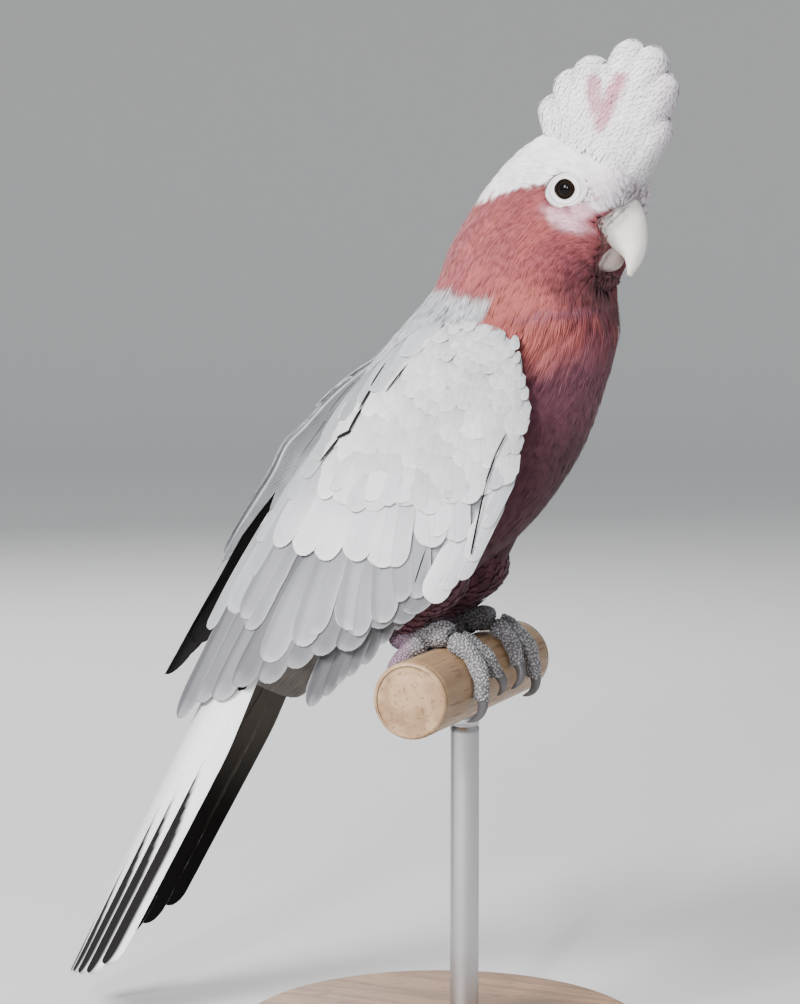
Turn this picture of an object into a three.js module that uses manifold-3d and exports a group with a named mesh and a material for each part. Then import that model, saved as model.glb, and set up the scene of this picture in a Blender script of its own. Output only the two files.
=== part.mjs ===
// A life-size galah, a rose-and-grey cockatoo, perched on a display stand as a still museum model.
//
// Millimetres, +Z up. The bird faces +X and its left side is +Y. The origin is the middle of the
// underside of the stand's base. The bird's own sizes are measured from the top of the perch.
// Every solid keeps a thin gap from its neighbours, so that no two share any space.

import * as THREE from 'three';
import { mergeVertices } from 'three/addons/utils/BufferGeometryUtils.js';
import Module from 'manifold-3d';

const wasm = await Module();
wasm.setup();

// ---------------------------------------------------------------- driving dimensions

// Parted pieces stand GAP apart, and a cutter is its piece swollen by SWELL.
const GAP = 0.3;
const SWELL = 0.4;
const SHARPEST = 0.3;
const FACET_TOLERANCE = 0.06;
const SIDES = { right: -1, left: 1 };

const STAND = {
  perchTop: 146,
  perchRadius: 13,
  perchLength: 104,
  rodRadius: 5,
  baseRadius: 72,
  baseHeight: 10,
  baseEdge: 1.5,
  perchEdge: 1.5,
  perchSides: 28,
  rodSides: 24,
  baseSides: 48,
  baseX: -8,
};

const HEAD_TURN = THREE.MathUtils.degToRad(-8);
const HEAD_PIVOT_X = 20;

// The body is one tube from the root of the bill to the root of the tail. Each station has a point
// on the back line, a point on the front line and a half width.
const BODY = {
  sides: 16,
  stepsPerStation: 2,
  middle: 0.48,
  stations: [
    { at: 'bill root', back: [63.0, 151.5], front: [54.5, 125.0], half: 8.0 },
    { at: 'lores', back: [65.0, 160.0], front: [52.0, 122.0], half: 13.0 },
    { at: 'forehead', back: [60.0, 168.5], front: [51.5, 121.0], half: 16.5 },
    { at: 'eye', back: [48.0, 174.0], front: [52.0, 120.0], half: 18.5 },
    { at: 'crown', back: [34.6, 174.4], front: [52.0, 118.0], half: 20.0 },
    { at: 'hind crown', back: [22.8, 169.0], front: [52.0, 116.0], half: 20.5 },
    { at: 'nape', back: [13.0, 160.4], front: [52.5, 113.5], half: 21.0 },
    { at: 'neck', back: [4.3, 149.4], front: [53.0, 109.5], half: 22.5 },
    { at: 'neck root', back: [-4.0, 136.0], front: [53.0, 103.0], half: 25.0 },
    { at: 'mantle', back: [-10.0, 121.0], front: [49.0, 89.0], half: 29.0 },
    { at: 'breast', back: [-23.0, 106.0], front: [42.5, 71.0], half: 34.0 },
    { at: 'back', back: [-36.0, 90.5], front: [33.5, 55.0], half: 36.0 },
    { at: 'belly', back: [-46.0, 73.0], front: [21.0, 39.5], half: 35.5 },
    { at: 'lower back', back: [-54.0, 53.0], front: [6.0, 27.0], half: 32.0 },
    { at: 'rump', back: [-61.0, 34.0], front: [-12.0, 13.0], half: 27.0 },
    { at: 'vent', back: [-69.5, 16.5], front: [-30.0, 0.0], half: 22.0 },
    { at: 'tail coverts', back: [-80.5, 3.0], front: [-47.0, -12.0], half: 18.0 },
    { at: 'tail root', back: [-90.5, -9.5], front: [-63.0, -24.0], half: 12.0 },
  ],
  turnStarts: 6,
  turnEnds: 9,
  neckFrom: 6,
  trunkFrom: 9,
};

const EYE = { x: 45.5, z: 154.6, y: 13.3, radius: 5.5 };

// Sections of the two halves of the bill: a point on the ridge, one on the cutting edge, half width.
const BILL = {
  sides: 12,
  centreShare: 0.55,
  clearing: 1.75,
  upper: [
    { ridge: [58.0, 153.0], edge: [49.5, 146.0], half: 8.2 },
    { ridge: [62.6, 150.2], edge: [51.3, 141.2], half: 8.2 },
    { ridge: [65.4, 145.6], edge: [53.6, 136.8], half: 7.4 },
    { ridge: [66.5, 140.4], edge: [56.8, 133.8], half: 6.0 },
    { ridge: [66.2, 135.2], edge: [59.0, 131.8], half: 4.5 },
    { ridge: [64.4, 130.4], edge: [59.6, 129.8], half: 2.9 },
    { ridge: [61.2, 125.8], edge: [59.6, 126.6], half: 1.0 },
  ],
  lower: [
    { ridge: [47.5, 143.0], edge: [44.0, 131.0], half: 7.0 },
    { ridge: [51.5, 138.4], edge: [48.0, 128.4], half: 6.4 },
    { ridge: [54.8, 135.0], edge: [51.8, 127.2], half: 5.4 },
    { ridge: [57.2, 132.8], edge: [55.4, 128.2], half: 3.4 },
    { ridge: [58.0, 131.8], edge: [57.2, 130.0], half: 1.4 },
  ],
};

// Crest lobes in the head's mid plane: root, tip, half breadth along the head, half breadth across.
const CREST = {
  sides: 8,
  steps: 5,
  lobes: [
    { root: [57.5, 156.0], tip: [73.6, 179.0], along: 5.7, across: 9.3 },
    { root: [57.0, 160.0], tip: [75.2, 192.8], along: 6.7, across: 10.8 },
    { root: [56.0, 163.0], tip: [70.2, 201.6], along: 7.4, across: 11.8 },
    { root: [54.0, 166.0], tip: [61.8, 203.9], along: 7.4, across: 12 },
    { root: [46.0, 168.0], tip: [46.2, 199.2], along: 6.8, across: 11.5 },
    { root: [43.0, 168.0], tip: [37.6, 194.9], along: 6.8, across: 11 },
    { root: [38.0, 166.0], tip: [30.2, 186.4], along: 6.4, across: 9.5 },
  ],
};

// The wing lies in a slanted frame: p runs from the shoulder to the wing tip and q from the front
// edge up to the back. The surface bulges out to its half width and closes in on the back.
const WING = {
  origin: [30, 104],
  alongP: [-0.5, -Math.sqrt(0.75)],
  alongQ: [-Math.sqrt(0.75), 0.5],
  widestQ: 1,
  backShare: [[-9, 0.6], [10, 0.72], [28, 0.84], [50, 0.92], [72, 0.975], [190, 0.975]],
  frontReach: 52,
  halfWidth: [[-12, 28], [0, 33], [20, 40], [50, 42.5], [80, 41], [120, 33], [160, 24], [200, 14]],
  frontEdge: [[-9, 8], [0, -5], [11, -14.5], [22, -20.5], [40, -25], [66, -26.5], [86, -22], [96, -10]],
  backEdge: [[-9, 18], [0, 25], [10, 31], [28, 41], [50, 49], [68, 53], [96, 56], [140, 58], [190, 56]],
  foreEnd: 96,
  thickness: [[-9, 1.4], [10, 6], [50, 6], [96, 4]],
  edgeThickness: 0.9,
  foreSteps: 11,
  across: 6,
};

// Long feathers lie side by side as one fan, whose end is scalloped by their round tips. A fan of a
// wing has a root line and the feather tips in p and q, and lies at a depth under the surface.
const FAN = { thickness: 1.6, lengthSteps: 3, samplesPerFeather: 3, scallop: 0.95, tipLength: 7 };

const FLIGHT = {
  right: {
    depth: 1.0,
    roots: [[84, -18], [84, 54]],
    tips: [[98, -12], [106, -7], [120, 4], [133, 15], [149, 24], [162, 33], [174, 41], [188, 50], [156, 58]],
  },
  left: {
    depth: 1.0,
    roots: [[84, -18], [84, 54]],
    tips: [[98, -12], [106, -6], [118, 4], [129, 14], [139, 23], [147, 31], [151, 40], [147, 49], [136, 58]],
  },
};

const PRIMARIES = {
  right: {
    depth: 4.5,
    roots: [[88, -6], [88, 10]],
    tips: [[112, -13], [132, -6], [143, 0], [149, 6], [138, 15]],
  },
  left: {
    depth: 4.5,
    roots: [[96, 34], [96, 44]],
    tips: [[146, 44], [158, 48], [171, 51], [181, 53], [168, 58]],
  },
};
const LEFT_WING_LIFT = 15;

const TAIL = {
  root: [-80.5, 10.5],
  tip: [-155, -131.5],
  archHalfWidth: 19,
  archDrop: 24,
  archRadius: 20.5,
  reach: 32,
  rootCrowding: 0.95,
  tipCrowding: 0.85,
  scallop: 0.035,
  ends: [0.86, 0.92, 0.95, 0.965, 0.98, 0.99, 1, 0.985, 0.955, 0.92, 0.88, 0.82, 0.75],
};

const LEG = {
  spread: 20,
  sides: 12,
  thigh: [[4, 42, 12], [-4, 28, 12.5], [-11, 15, 9], [-16.5, 6.5, 5]],
  shank: [[-16.5, 6, 3.4], [-15.5, 3, 4.2], [-10, 3, 3.5], [-5, 4.2, 3.9], [-0.5, 5.0, 4.3], [2.5, 4.6, 3.6]],
  shankSquash: 1.2,
};

// Toes wrap the perch from its top: arc start and end in degrees, sideways start and end in mm.
const TOES = [
  { number: 1, from: -30, to: -74, out: [-3.8, -8.0], radius: [3.0, 2.3], claw: 8 },
  { number: 2, from: 24, to: 78, out: [-3.8, -9.5], radius: [3.0, 2.3], claw: 8.5 },
  { number: 3, from: 24, to: 100, out: [3.8, 6.5], radius: [3.2, 2.4], claw: 9.5 },
  { number: 4, from: -30, to: -98, out: [3.8, 8.5], radius: [3.1, 2.4], claw: 9 },
];
const TOE = { sides: 8, degreesPerStep: 18, padClearance: 0.45 };
const CLAW = { sides: 6, steps: 3, radius: 1.9, taper: 0.85, sinkDegrees: 3, lift: 0.55, arch: 1.6, dip: 1.2 };

const FINISHES = {
  rose: { color: 0xb9646c, roughness: 0.9 },
  blush: { color: 0xeadcdc, roughness: 0.9 },
  grey: { color: 0xb9bbc4, roughness: 0.85 },
  slate: { color: 0x4c4c55, roughness: 0.8 },
  foot: { color: 0x8d8a90, roughness: 0.8 },
  claw: { color: 0x4a4648, roughness: 0.5 },
  horn: { color: 0xe9e4da, roughness: 0.45 },
  eye: { color: 0x120c0a, roughness: 0.1 },
  wood: { color: 0xb08a5e, roughness: 0.7 },
  metal: { color: 0x9a9ca0, roughness: 0.35, metalness: 1 },
};

// ---------------------------------------------------------------- curves

/** A smooth value at x through a list of [x, value] pairs in rising order of x. */
function through(pairs, x) {
  const last = pairs.length - 1;
  let i = 0;
  while (i < last - 1 && x > pairs[i + 1][0]) i += 1;
  const slope = (j) => {
    const a = pairs[Math.max(0, j - 1)];
    const b = pairs[Math.min(last, j + 1)];
    return (b[1] - a[1]) / (b[0] - a[0]);
  };
  const [x0, y0] = pairs[i];
  const [x1, y1] = pairs[i + 1];
  const span = x1 - x0;
  const t = THREE.MathUtils.clamp((x - x0) / span, 0, 1);
  const a = 1 - 3 * t * t + 2 * t * t * t;
  const b = (t - 2 * t * t + t * t * t) * span * slope(i);
  const c = (t * t * t - t * t) * span * slope(i + 1);
  return a * y0 + b + (1 - a) * y1 + c;
}

/** A smooth value at place t, from 0 to the last index, in a list of evenly spaced values. */
function along(values, t) {
  return through(values.map((value, index) => [index, value]), t);
}

/** Evenly spaced numbers from a to b, both included. */
function steps(a, b, count) {
  return Array.from({ length: count + 1 }, (_, i) => a + ((b - a) * i) / count);
}

// ---------------------------------------------------------------- solids

/** A closed geometry through rings of points, each ring with the same number of points. */
function loft(rings) {
  const count = rings[0].length;
  const positions = rings.flat().flatMap((point) => [point.x, point.y, point.z]);
  const index = [];
  for (let r = 0; r + 1 < rings.length; r += 1) {
    for (let i = 0; i < count; i += 1) {
      const a = r * count + i;
      const b = r * count + ((i + 1) % count);
      index.push(a, b, b + count, a, b + count, a + count);
    }
  }
  const end = (rings.length - 1) * count;
  for (let i = 0; i < count / 2 - 1; i += 1) {
    const j = count - 1 - i;
    index.push(i, j, i + 1, i + 1, j, j - 1);
    index.push(end + i, end + i + 1, end + j, end + i + 1, end + j - 1, end + j);
  }
  const geometry = new THREE.BufferGeometry();
  geometry.setAttribute('position', new THREE.Float32BufferAttribute(positions, 3));
  geometry.setIndex(index);
  return geometry;
}

/** A geometry with shared points merged, and its faces wound to face out. */
function welded(geometry) {
  const bare = geometry.clone();
  bare.deleteAttribute('normal');
  bare.deleteAttribute('uv');
  const merged = mergeVertices(bare, 1e-3);
  const faces = Uint32Array.from(merged.index.array);
  if (signedVolume(merged.attributes.position.array, faces) < 0) faces.reverse();
  merged.setIndex(Array.from(faces));
  return merged;
}

/** The solid inside a closed geometry. */
function solid(geometry) {
  const merged = welded(geometry);
  const points = new Float32Array(merged.attributes.position.array);
  const faces = Uint32Array.from(merged.index.array);
  const mesh = new wasm.Mesh({ numProp: 3, vertProperties: points, triVerts: faces });
  return new wasm.Manifold(mesh);
}

/** The solid inside a closed geometry, pushed out so that each of its faces moves by growth. */
function swollen(geometry, growth = SWELL) {
  const merged = welded(geometry);
  merged.computeVertexNormals();
  const { position, normal } = merged.attributes;
  const leastTurn = new Array(position.count).fill(1);
  const [a, b, c, out] = Array.from({ length: 4 }, () => new THREE.Vector3());
  for (let i = 0; i < merged.index.count; i += 3) {
    const corners = [0, 1, 2].map((k) => merged.index.getX(i + k));
    [a, b, c].forEach((point, k) => point.fromBufferAttribute(position, corners[k]));
    const face = b.sub(a).cross(c.sub(a)).normalize();
    corners.forEach((corner) => {
      const turn = out.fromBufferAttribute(normal, corner).dot(face);
      leastTurn[corner] = Math.min(leastTurn[corner], turn);
    });
  }
  for (let i = 0; i < position.count; i += 1) {
    out.fromBufferAttribute(normal, i);
    a.fromBufferAttribute(position, i).addScaledVector(out, growth / Math.max(SHARPEST, leastTurn[i]));
    position.setXYZ(i, a.x, a.y, a.z);
  }
  return solid(merged).add(solid(geometry));
}

/** Six times the volume that the faces close round, negative where they face inward. */
function signedVolume(points, faces) {
  let sum = 0;
  const [a, b, c] = [new THREE.Vector3(), new THREE.Vector3(), new THREE.Vector3()];
  for (let i = 0; i < faces.length; i += 3) {
    a.fromArray(points, 3 * faces[i]);
    b.fromArray(points, 3 * faces[i + 1]);
    c.fromArray(points, 3 * faces[i + 2]);
    sum += a.dot(b.cross(c));
  }
  return sum;
}

/** The geometry of a solid, with facets merged where they are nearly flat. */
function geometryOf(manifold) {
  const mesh = manifold.simplify(FACET_TOLERANCE).getMesh();
  const geometry = new THREE.BufferGeometry();
  const points = new Float32Array(mesh.vertProperties);
  geometry.setAttribute('position', new THREE.BufferAttribute(points, 3));
  geometry.setIndex(Array.from(mesh.triVerts));
  return geometry;
}

/** The biggest separate piece of a solid. */
function biggest(manifold) {
  const pieces = manifold.decompose();
  return pieces.reduce((best, piece) => (piece.volume() > best.volume() ? piece : best));
}

/** One solid out of several that overlap. */
function joined(solids) {
  return solids.reduce((whole, next) => whole.add(next));
}

/** A solid with others cut out of it. */
function without(manifold, cutters) {
  return biggest(cutters.reduce((rest, cutter) => rest.subtract(cutter), manifold));
}

/** Rings of a round limb along a list of centre points, with a radius and a squash for each. */
function limbRings(centres, radii, sides, squash = 1) {
  return centres.map((centre, i) => {
    const before = centres[Math.max(0, i - 1)];
    const after = centres[Math.min(centres.length - 1, i + 1)];
    const forward = after.clone().sub(before).normalize();
    const across = new THREE.Vector3(0, 1, 0).addScaledVector(forward, -forward.y).normalize();
    const up = new THREE.Vector3().crossVectors(forward, across);
    return steps(0, 2 * Math.PI, sides).slice(0, sides).map((angle) => centre.clone()
      .addScaledVector(across, radii[i] * squash * Math.cos(angle))
      .addScaledVector(up, radii[i] * Math.sin(angle)));
  });
}

// ---------------------------------------------------------------- body

/** Turns a point of the straight head towards the bird's right, by a share of the full turn. */
function turned(point, share = 1) {
  const pivot = new THREE.Vector3(HEAD_PIVOT_X, 0, 0);
  return point.sub(pivot).applyAxisAngle(new THREE.Vector3(0, 0, 1), HEAD_TURN * share).add(pivot);
}

/** The ring of the body tube at station t. */
function bodyRing(t) {
  const value = (pick) => along(BODY.stations.map(pick), t);
  const back = new THREE.Vector3(value((s) => s.back[0]), 0, value((s) => s.back[1]));
  const front = new THREE.Vector3(value((s) => s.front[0]), 0, value((s) => s.front[1]));
  const half = value((s) => s.half);
  const centre = back.clone().lerp(front, BODY.middle);
  const share = 1 - THREE.MathUtils.smoothstep(t, BODY.turnStarts, BODY.turnEnds);
  return steps(0, 2 * Math.PI, BODY.sides).slice(0, BODY.sides).map((angle) => {
    const rim = Math.cos(angle) > 0 ? back : front;
    const point = centre.clone().lerp(rim, Math.abs(Math.cos(angle)));
    point.y = half * Math.sin(angle);
    return turned(point, share);
  });
}

/** The whole body tube. */
function bodyTube() {
  const last = BODY.stations.length - 1;
  return loft(steps(0, last, last * BODY.stepsPerStation).map(bodyRing));
}

/** The plane across the body at a station: a unit normal towards the tail, and its offset. */
function stationPlane(index) {
  const { back, front } = BODY.stations[index];
  const normal = new THREE.Vector3(back[1] - front[1], 0, front[0] - back[0]).normalize().negate();
  const middle = new THREE.Vector3((back[0] + front[0]) / 2, 0, (back[1] + front[1]) / 2);
  return { normal, offset: normal.dot(middle) };
}

/** The part of a solid between two stations of the body, half a gap short of each. */
function between(manifold, from, to) {
  let part = manifold;
  if (from !== null) {
    const { normal, offset } = stationPlane(from);
    part = part.trimByPlane(normal.toArray(), offset + GAP / 2);
  }
  if (to !== null) {
    const { normal, offset } = stationPlane(to);
    part = part.trimByPlane(normal.clone().negate().toArray(), -offset + GAP / 2);
  }
  return biggest(part);
}

/** An eyeball. */
function eyeball(side) {
  const sphere = new THREE.SphereGeometry(EYE.radius, 12, 7);
  sphere.translate(EYE.x - HEAD_PIVOT_X, side * EYE.y, EYE.z);
  return sphere.rotateZ(HEAD_TURN).translate(HEAD_PIVOT_X, 0, 0);
}

/** One half of the bill from its sections, with its sides pushed out by a factor. */
function billHalf(sections, widening = 1) {
  const rings = sections.map(({ ridge, edge, half }) => {
    const top = new THREE.Vector3(ridge[0], 0, ridge[1]);
    const foot = new THREE.Vector3(edge[0], 0, edge[1]);
    const centre = top.clone().lerp(foot, BILL.centreShare);
    return steps(0, 2 * Math.PI, BILL.sides).slice(0, BILL.sides).map((angle) => {
      const rim = Math.cos(angle) > 0 ? top : foot;
      const point = centre.clone().lerp(rim, Math.abs(Math.cos(angle)));
      point.y = widening * half * Math.sin(angle);
      return turned(point);
    });
  });
  return loft(rings);
}

/** One rounded lobe of the crest. */
function crestLobe({ root, tip, along: halfAlong, across }) {
  const foot = new THREE.Vector3(root[0], 0, root[1]);
  const head = new THREE.Vector3(tip[0], 0, tip[1]);
  const rise = head.clone().sub(foot).normalize();
  const lean = new THREE.Vector3(-rise.z, 0, rise.x);
  const rings = steps(0, 1, CREST.steps).map((s) => {
    const round = Math.sqrt(Math.max(0.02, 1 - Math.max(0, (s - 0.72) / 0.28) ** 2));
    const taper = 1 - 0.45 * s;
    const centre = foot.clone().lerp(head, s);
    return steps(0, 2 * Math.PI, CREST.sides).slice(0, CREST.sides).map((angle) => turned(centre.clone()
      .addScaledVector(lean, halfAlong * round * Math.cos(angle))
      .add(new THREE.Vector3(0, across * taper * round * Math.sin(angle), 0))));
  });
  return loft(rings);
}

// ---------------------------------------------------------------- wings

/** How far the wing's surface stands out from the mid plane at p and q. */
function wingDistance(p, q) {
  const reach = q > WING.widestQ
    ? (through(WING.backEdge, p) - WING.widestQ) / through(WING.backShare, p)
    : WING.frontReach;
  const share = (q - WING.widestQ) / reach;
  return through(WING.halfWidth, p) * Math.sqrt(Math.max(0.04, 1 - share * share));
}

/** A point of a wing at p and q, sunk under its surface by a depth. */
function wingPoint(side, p, q, depth) {
  const small = 0.5;
  const here = wingDistance(p, q);
  const slope = (wingDistance(p, q + small) - wingDistance(p, q - small)) / (2 * small);
  const length = Math.hypot(1, slope);
  const outY = here - depth / length;
  const outQ = q + (depth * slope) / length + (side > 0 ? LEFT_WING_LIFT : 0);
  const x = WING.origin[0] + p * WING.alongP[0] + outQ * WING.alongQ[0];
  const z = WING.origin[1] + p * WING.alongP[1] + outQ * WING.alongQ[1];
  return new THREE.Vector3(x, side * outY, z);
}

/** The thick fore part of a wing, with its coverts. */
function wingFore(side) {
  const rings = steps(WING.frontEdge[0][0], WING.foreEnd, WING.foreSteps).map((p) => {
    const low = through(WING.frontEdge, p);
    const high = through(WING.backEdge, p);
    const thick = through(WING.thickness, p);
    const row = steps(0, 1, WING.across);
    const outer = row.map((s) => wingPoint(side, p, low + s * (high - low), 0));
    const inner = row.map((s) => {
      const bulge = Math.sqrt(Math.max(0, 1 - (2 * s - 1) ** 4));
      const depth = WING.edgeThickness + (thick - WING.edgeThickness) * bulge;
      return wingPoint(side, p, low + s * (high - low), depth);
    });
    return outer.concat(inner.reverse());
  });
  return loft(rings);
}

/** A closed fan of feathers. place maps a share across it and a length along it to a point. */
function featherFan(count, place) {
  const across = steps(0, count, count * FAN.samplesPerFeather);
  const rings = across.map((feather) => {
    const line = steps(0, 1, FAN.lengthSteps).map((s) => ({ feather, s }));
    const outer = line.map(({ s }) => place(feather, s, 0));
    const inner = line.map(({ s }) => place(feather, s, FAN.thickness));
    return outer.concat(inner.reverse());
  });
  return loft(rings);
}

/** How much of its length a fan keeps at a place across it: less between two feathers. */
function scallop(feather) {
  return Math.sqrt(1 - FAN.scallop * (2 * (feather % 1) - 1) ** 2);
}

/** The feathers of a wing that fan out between a root line and a row of tips. */
function wingFan(side, { roots, tips, depth }) {
  const count = tips.length - 1;
  return featherFan(count, (feather, s, deep) => {
    const tipP = along(tips.map(([p]) => p), feather);
    const tipQ = along(tips.map(([, q]) => q), feather);
    const share = feather / count;
    const rootP = THREE.MathUtils.lerp(roots[0][0], roots[1][0], share);
    const rootQ = THREE.MathUtils.lerp(roots[0][1], roots[1][1], share);
    const length = Math.hypot(tipP - rootP, tipQ - rootQ);
    const cut = 1 - (FAN.tipLength / length) * (1 - scallop(feather));
    const p = THREE.MathUtils.lerp(rootP, tipP, s * cut);
    const q = THREE.MathUtils.lerp(rootQ, tipQ, s * cut);
    return wingPoint(side, p, q, depth + deep);
  });
}

// ---------------------------------------------------------------- tail

/** A point of the tail: s runs from its root to its tip, u across the arch, depth under it. */
function tailPoint(s, u, depth) {
  const root = new THREE.Vector3(TAIL.root[0], 0, TAIL.root[1]);
  const tip = new THREE.Vector3(TAIL.tip[0], 0, TAIL.tip[1]);
  const line = tip.clone().sub(root).normalize();
  const above = new THREE.Vector3(line.z, 0, -line.x);
  const angle = u / TAIL.archRadius;
  return root.lerp(tip, s)
    .addScaledVector(above, -TAIL.archDrop * (1 - Math.cos(angle)) - depth * Math.cos(angle))
    .add(new THREE.Vector3(0, TAIL.archHalfWidth * Math.sin(angle) - depth * Math.sin(angle), 0));
}

/** All twelve tail feathers as one fan over the arch. */
function tailFan() {
  const count = TAIL.ends.length - 1;
  return featherFan(count, (feather, s, deep) => {
    const end = along(TAIL.ends, feather) - TAIL.scallop * (1 - scallop(feather));
    const crowding = THREE.MathUtils.lerp(TAIL.rootCrowding, TAIL.tipCrowding, s);
    const u = TAIL.reach * ((2 * feather) / count - 1) * crowding;
    return tailPoint(s * end, u, deep);
  });
}

// ---------------------------------------------------------------- legs

/** A limb in a plane beside the body, from rows of x, z and radius. */
function legPiece(side, rows, squash) {
  const centres = rows.map(([x, z]) => new THREE.Vector3(x, side * LEG.spread, z));
  const radii = rows.map(([, , radius]) => radius);
  return loft(limbRings(centres, radii, LEG.sides, squash));
}

/** A point above the perch's surface at an angle from its top. */
function roundPerch(degrees, height, y) {
  const angle = THREE.MathUtils.degToRad(degrees);
  const reach = STAND.perchRadius + height;
  return new THREE.Vector3(reach * Math.sin(angle), y, reach * Math.cos(angle) - STAND.perchRadius);
}

/** One toe wrapped over the perch. */
function toePiece(side, toe) {
  const count = Math.ceil(Math.abs(toe.to - toe.from) / TOE.degreesPerStep);
  const shares = steps(0, 1, count);
  const radii = shares.map((s) => THREE.MathUtils.lerp(toe.radius[0], toe.radius[1], s));
  const centres = shares.map((s, i) => {
    const y = side * (LEG.spread + THREE.MathUtils.lerp(toe.out[0], toe.out[1], s));
    return roundPerch(THREE.MathUtils.lerp(toe.from, toe.to, s), radii[i] + TOE.padClearance, y);
  });
  return loft(limbRings(centres, radii, TOE.sides));
}

/** The claw that goes on from a toe. */
function clawPiece(side, toe) {
  const way = Math.sign(toe.to - toe.from);
  const sweep = way * THREE.MathUtils.radToDeg(toe.claw / (STAND.perchRadius + toe.radius[1]));
  const drift = (toe.out[1] - toe.out[0]) / Math.abs(toe.to - toe.from);
  const shares = steps(0, 1, CLAW.steps);
  const radii = shares.map((s) => CLAW.radius * (1 - CLAW.taper * s));
  const centres = shares.map((s) => {
    const degrees = toe.to - way * CLAW.sinkDegrees + sweep * s;
    const y = side * (LEG.spread + toe.out[1] + drift * Math.abs(sweep) * s);
    const bow = CLAW.arch * Math.sin(Math.PI * s) - CLAW.dip * s;
    const height = toe.radius[1] + TOE.padClearance + CLAW.lift + bow;
    return roundPerch(degrees, height, y);
  });
  return loft(limbRings(centres, radii, CLAW.sides));
}

// ---------------------------------------------------------------- stand

/** The round wooden perch, laid across the bird. */
function perch() {
  const { perchRadius, perchLength } = STAND;
  const bevel = STAND.perchEdge;
  const half = perchLength / 2;
  const profile = [
    new THREE.Vector2(0, -half),
    new THREE.Vector2(perchRadius - bevel, -half),
    new THREE.Vector2(perchRadius, -half + bevel),
    new THREE.Vector2(perchRadius, half - bevel),
    new THREE.Vector2(perchRadius - bevel, half),
    new THREE.Vector2(0, half),
  ];
  return solid(new THREE.LatheGeometry(profile, STAND.perchSides)).translate([0, 0, -perchRadius]);
}

/** The upright rod, from the base to just under the perch, cut to fit the perch. */
function rod() {
  const foot = STAND.baseHeight + GAP;
  const top = STAND.perchTop - STAND.perchRadius;
  const cylinder = new THREE.CylinderGeometry(STAND.rodRadius, STAND.rodRadius, top - foot, STAND.rodSides);
  cylinder.rotateX(Math.PI / 2).translate(0, 0, (top + foot) / 2);
  const bore = STAND.perchRadius + GAP;
  const cutter = new THREE.CylinderGeometry(bore, bore, STAND.perchLength, STAND.baseSides);
  cutter.translate(0, 0, top);
  return without(solid(cylinder), [solid(cutter)]);
}

/** The flat round base. */
function base() {
  const { baseRadius, baseHeight, baseEdge, baseX } = STAND;
  const profile = [
    new THREE.Vector2(0, 0),
    new THREE.Vector2(baseRadius, 0),
    new THREE.Vector2(baseRadius, baseHeight - baseEdge),
    new THREE.Vector2(baseRadius - baseEdge, baseHeight),
    new THREE.Vector2(0, baseHeight),
  ];
  const disc = new THREE.LatheGeometry(profile, STAND.baseSides);
  disc.rotateX(Math.PI / 2).translate(baseX, 0, 0);
  return solid(disc);
}

// ---------------------------------------------------------------- assembly

const group = new THREE.Group();
const bird = new THREE.Group();
bird.position.z = STAND.perchTop;
group.add(bird);

/** Adds a named solid to a group, in one of the finishes. */
function add(parent, name, manifold, finish) {
  const material = new THREE.MeshStandardMaterial({ ...FINISHES[finish], name: finish });
  const mesh = new THREE.Mesh(geometryOf(manifold), material);
  mesh.name = name;
  parent.add(mesh);
}

const body = bodyTube();
const upperBill = billHalf(BILL.upper);
const lowerBill = billHalf(BILL.lower);
const eyes = Object.values(SIDES).map(eyeball);
const fores = Object.values(SIDES).map(wingFore);
const swollenBody = swollen(body);
const swollenFores = fores.map((fore) => swollen(fore));

// The face stands back to the bill's outline, so the bill shows from the side.
const billRooms = [BILL.upper, BILL.lower].map((sections) => billHalf(sections, BILL.clearing));
const headCutters = [...billRooms, ...eyes].map((piece) => swollen(piece));
add(bird, 'head', without(between(solid(body), null, BODY.neckFrom), headCutters), 'rose');
add(bird, 'neck', without(between(solid(body), BODY.neckFrom, BODY.trunkFrom), swollenFores), 'rose');
add(bird, 'trunk', without(between(solid(body), BODY.trunkFrom, null), swollenFores), 'rose');
add(bird, 'crest', without(joined(CREST.lobes.map((lobe) => solid(crestLobe(lobe)))), [swollenBody]), 'blush');
add(bird, 'bill_upper', solid(upperBill), 'horn');
add(bird, 'bill_lower', without(solid(lowerBill), [swollen(upperBill)]), 'horn');

const tailCutters = [swollenBody];
Object.entries(SIDES).forEach(([name, side], index) => {
  const flight = wingFan(side, FLIGHT[name]);
  const primaries = wingFan(side, PRIMARIES[name]);
  const flightCutters = [swollenBody, swollenFores[index]];
  const primaryCutters = flightCutters.concat(swollen(flight));
  tailCutters.push(swollen(flight, 2 * SWELL), swollen(primaries, 2 * SWELL));
  add(bird, `eye_${name}`, solid(eyes[index]), 'eye');
  add(bird, `wing_${name}`, solid(fores[index]), 'grey');
  add(bird, `wing_${name}_flight`, without(solid(flight), flightCutters), 'grey');
  add(bird, `wing_${name}_primaries`, without(solid(primaries), primaryCutters), 'slate');

  const thigh = legPiece(side, LEG.thigh, 1);
  const shank = legPiece(side, LEG.shank, LEG.shankSquash);
  add(bird, `thigh_${name}`, without(solid(thigh), [swollenBody, ...swollenFores]), 'grey');
  add(bird, `shank_${name}`, without(solid(shank), [swollen(thigh)]), 'foot');
  TOES.forEach((toe) => {
    const piece = toePiece(side, toe);
    add(bird, `toe_${name}_${toe.number}`, without(solid(piece), [swollen(shank)]), 'foot');
    add(bird, `claw_${name}_${toe.number}`, without(solid(clawPiece(side, toe)), [swollen(piece)]), 'claw');
  });
});

add(bird, 'tail', without(solid(tailFan()), tailCutters), 'grey');
add(bird, 'stand_perch', perch(), 'wood');
add(group, 'stand_rod', rod(), 'metal');
add(group, 'stand_base', base(), 'wood');

export default group;
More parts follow.
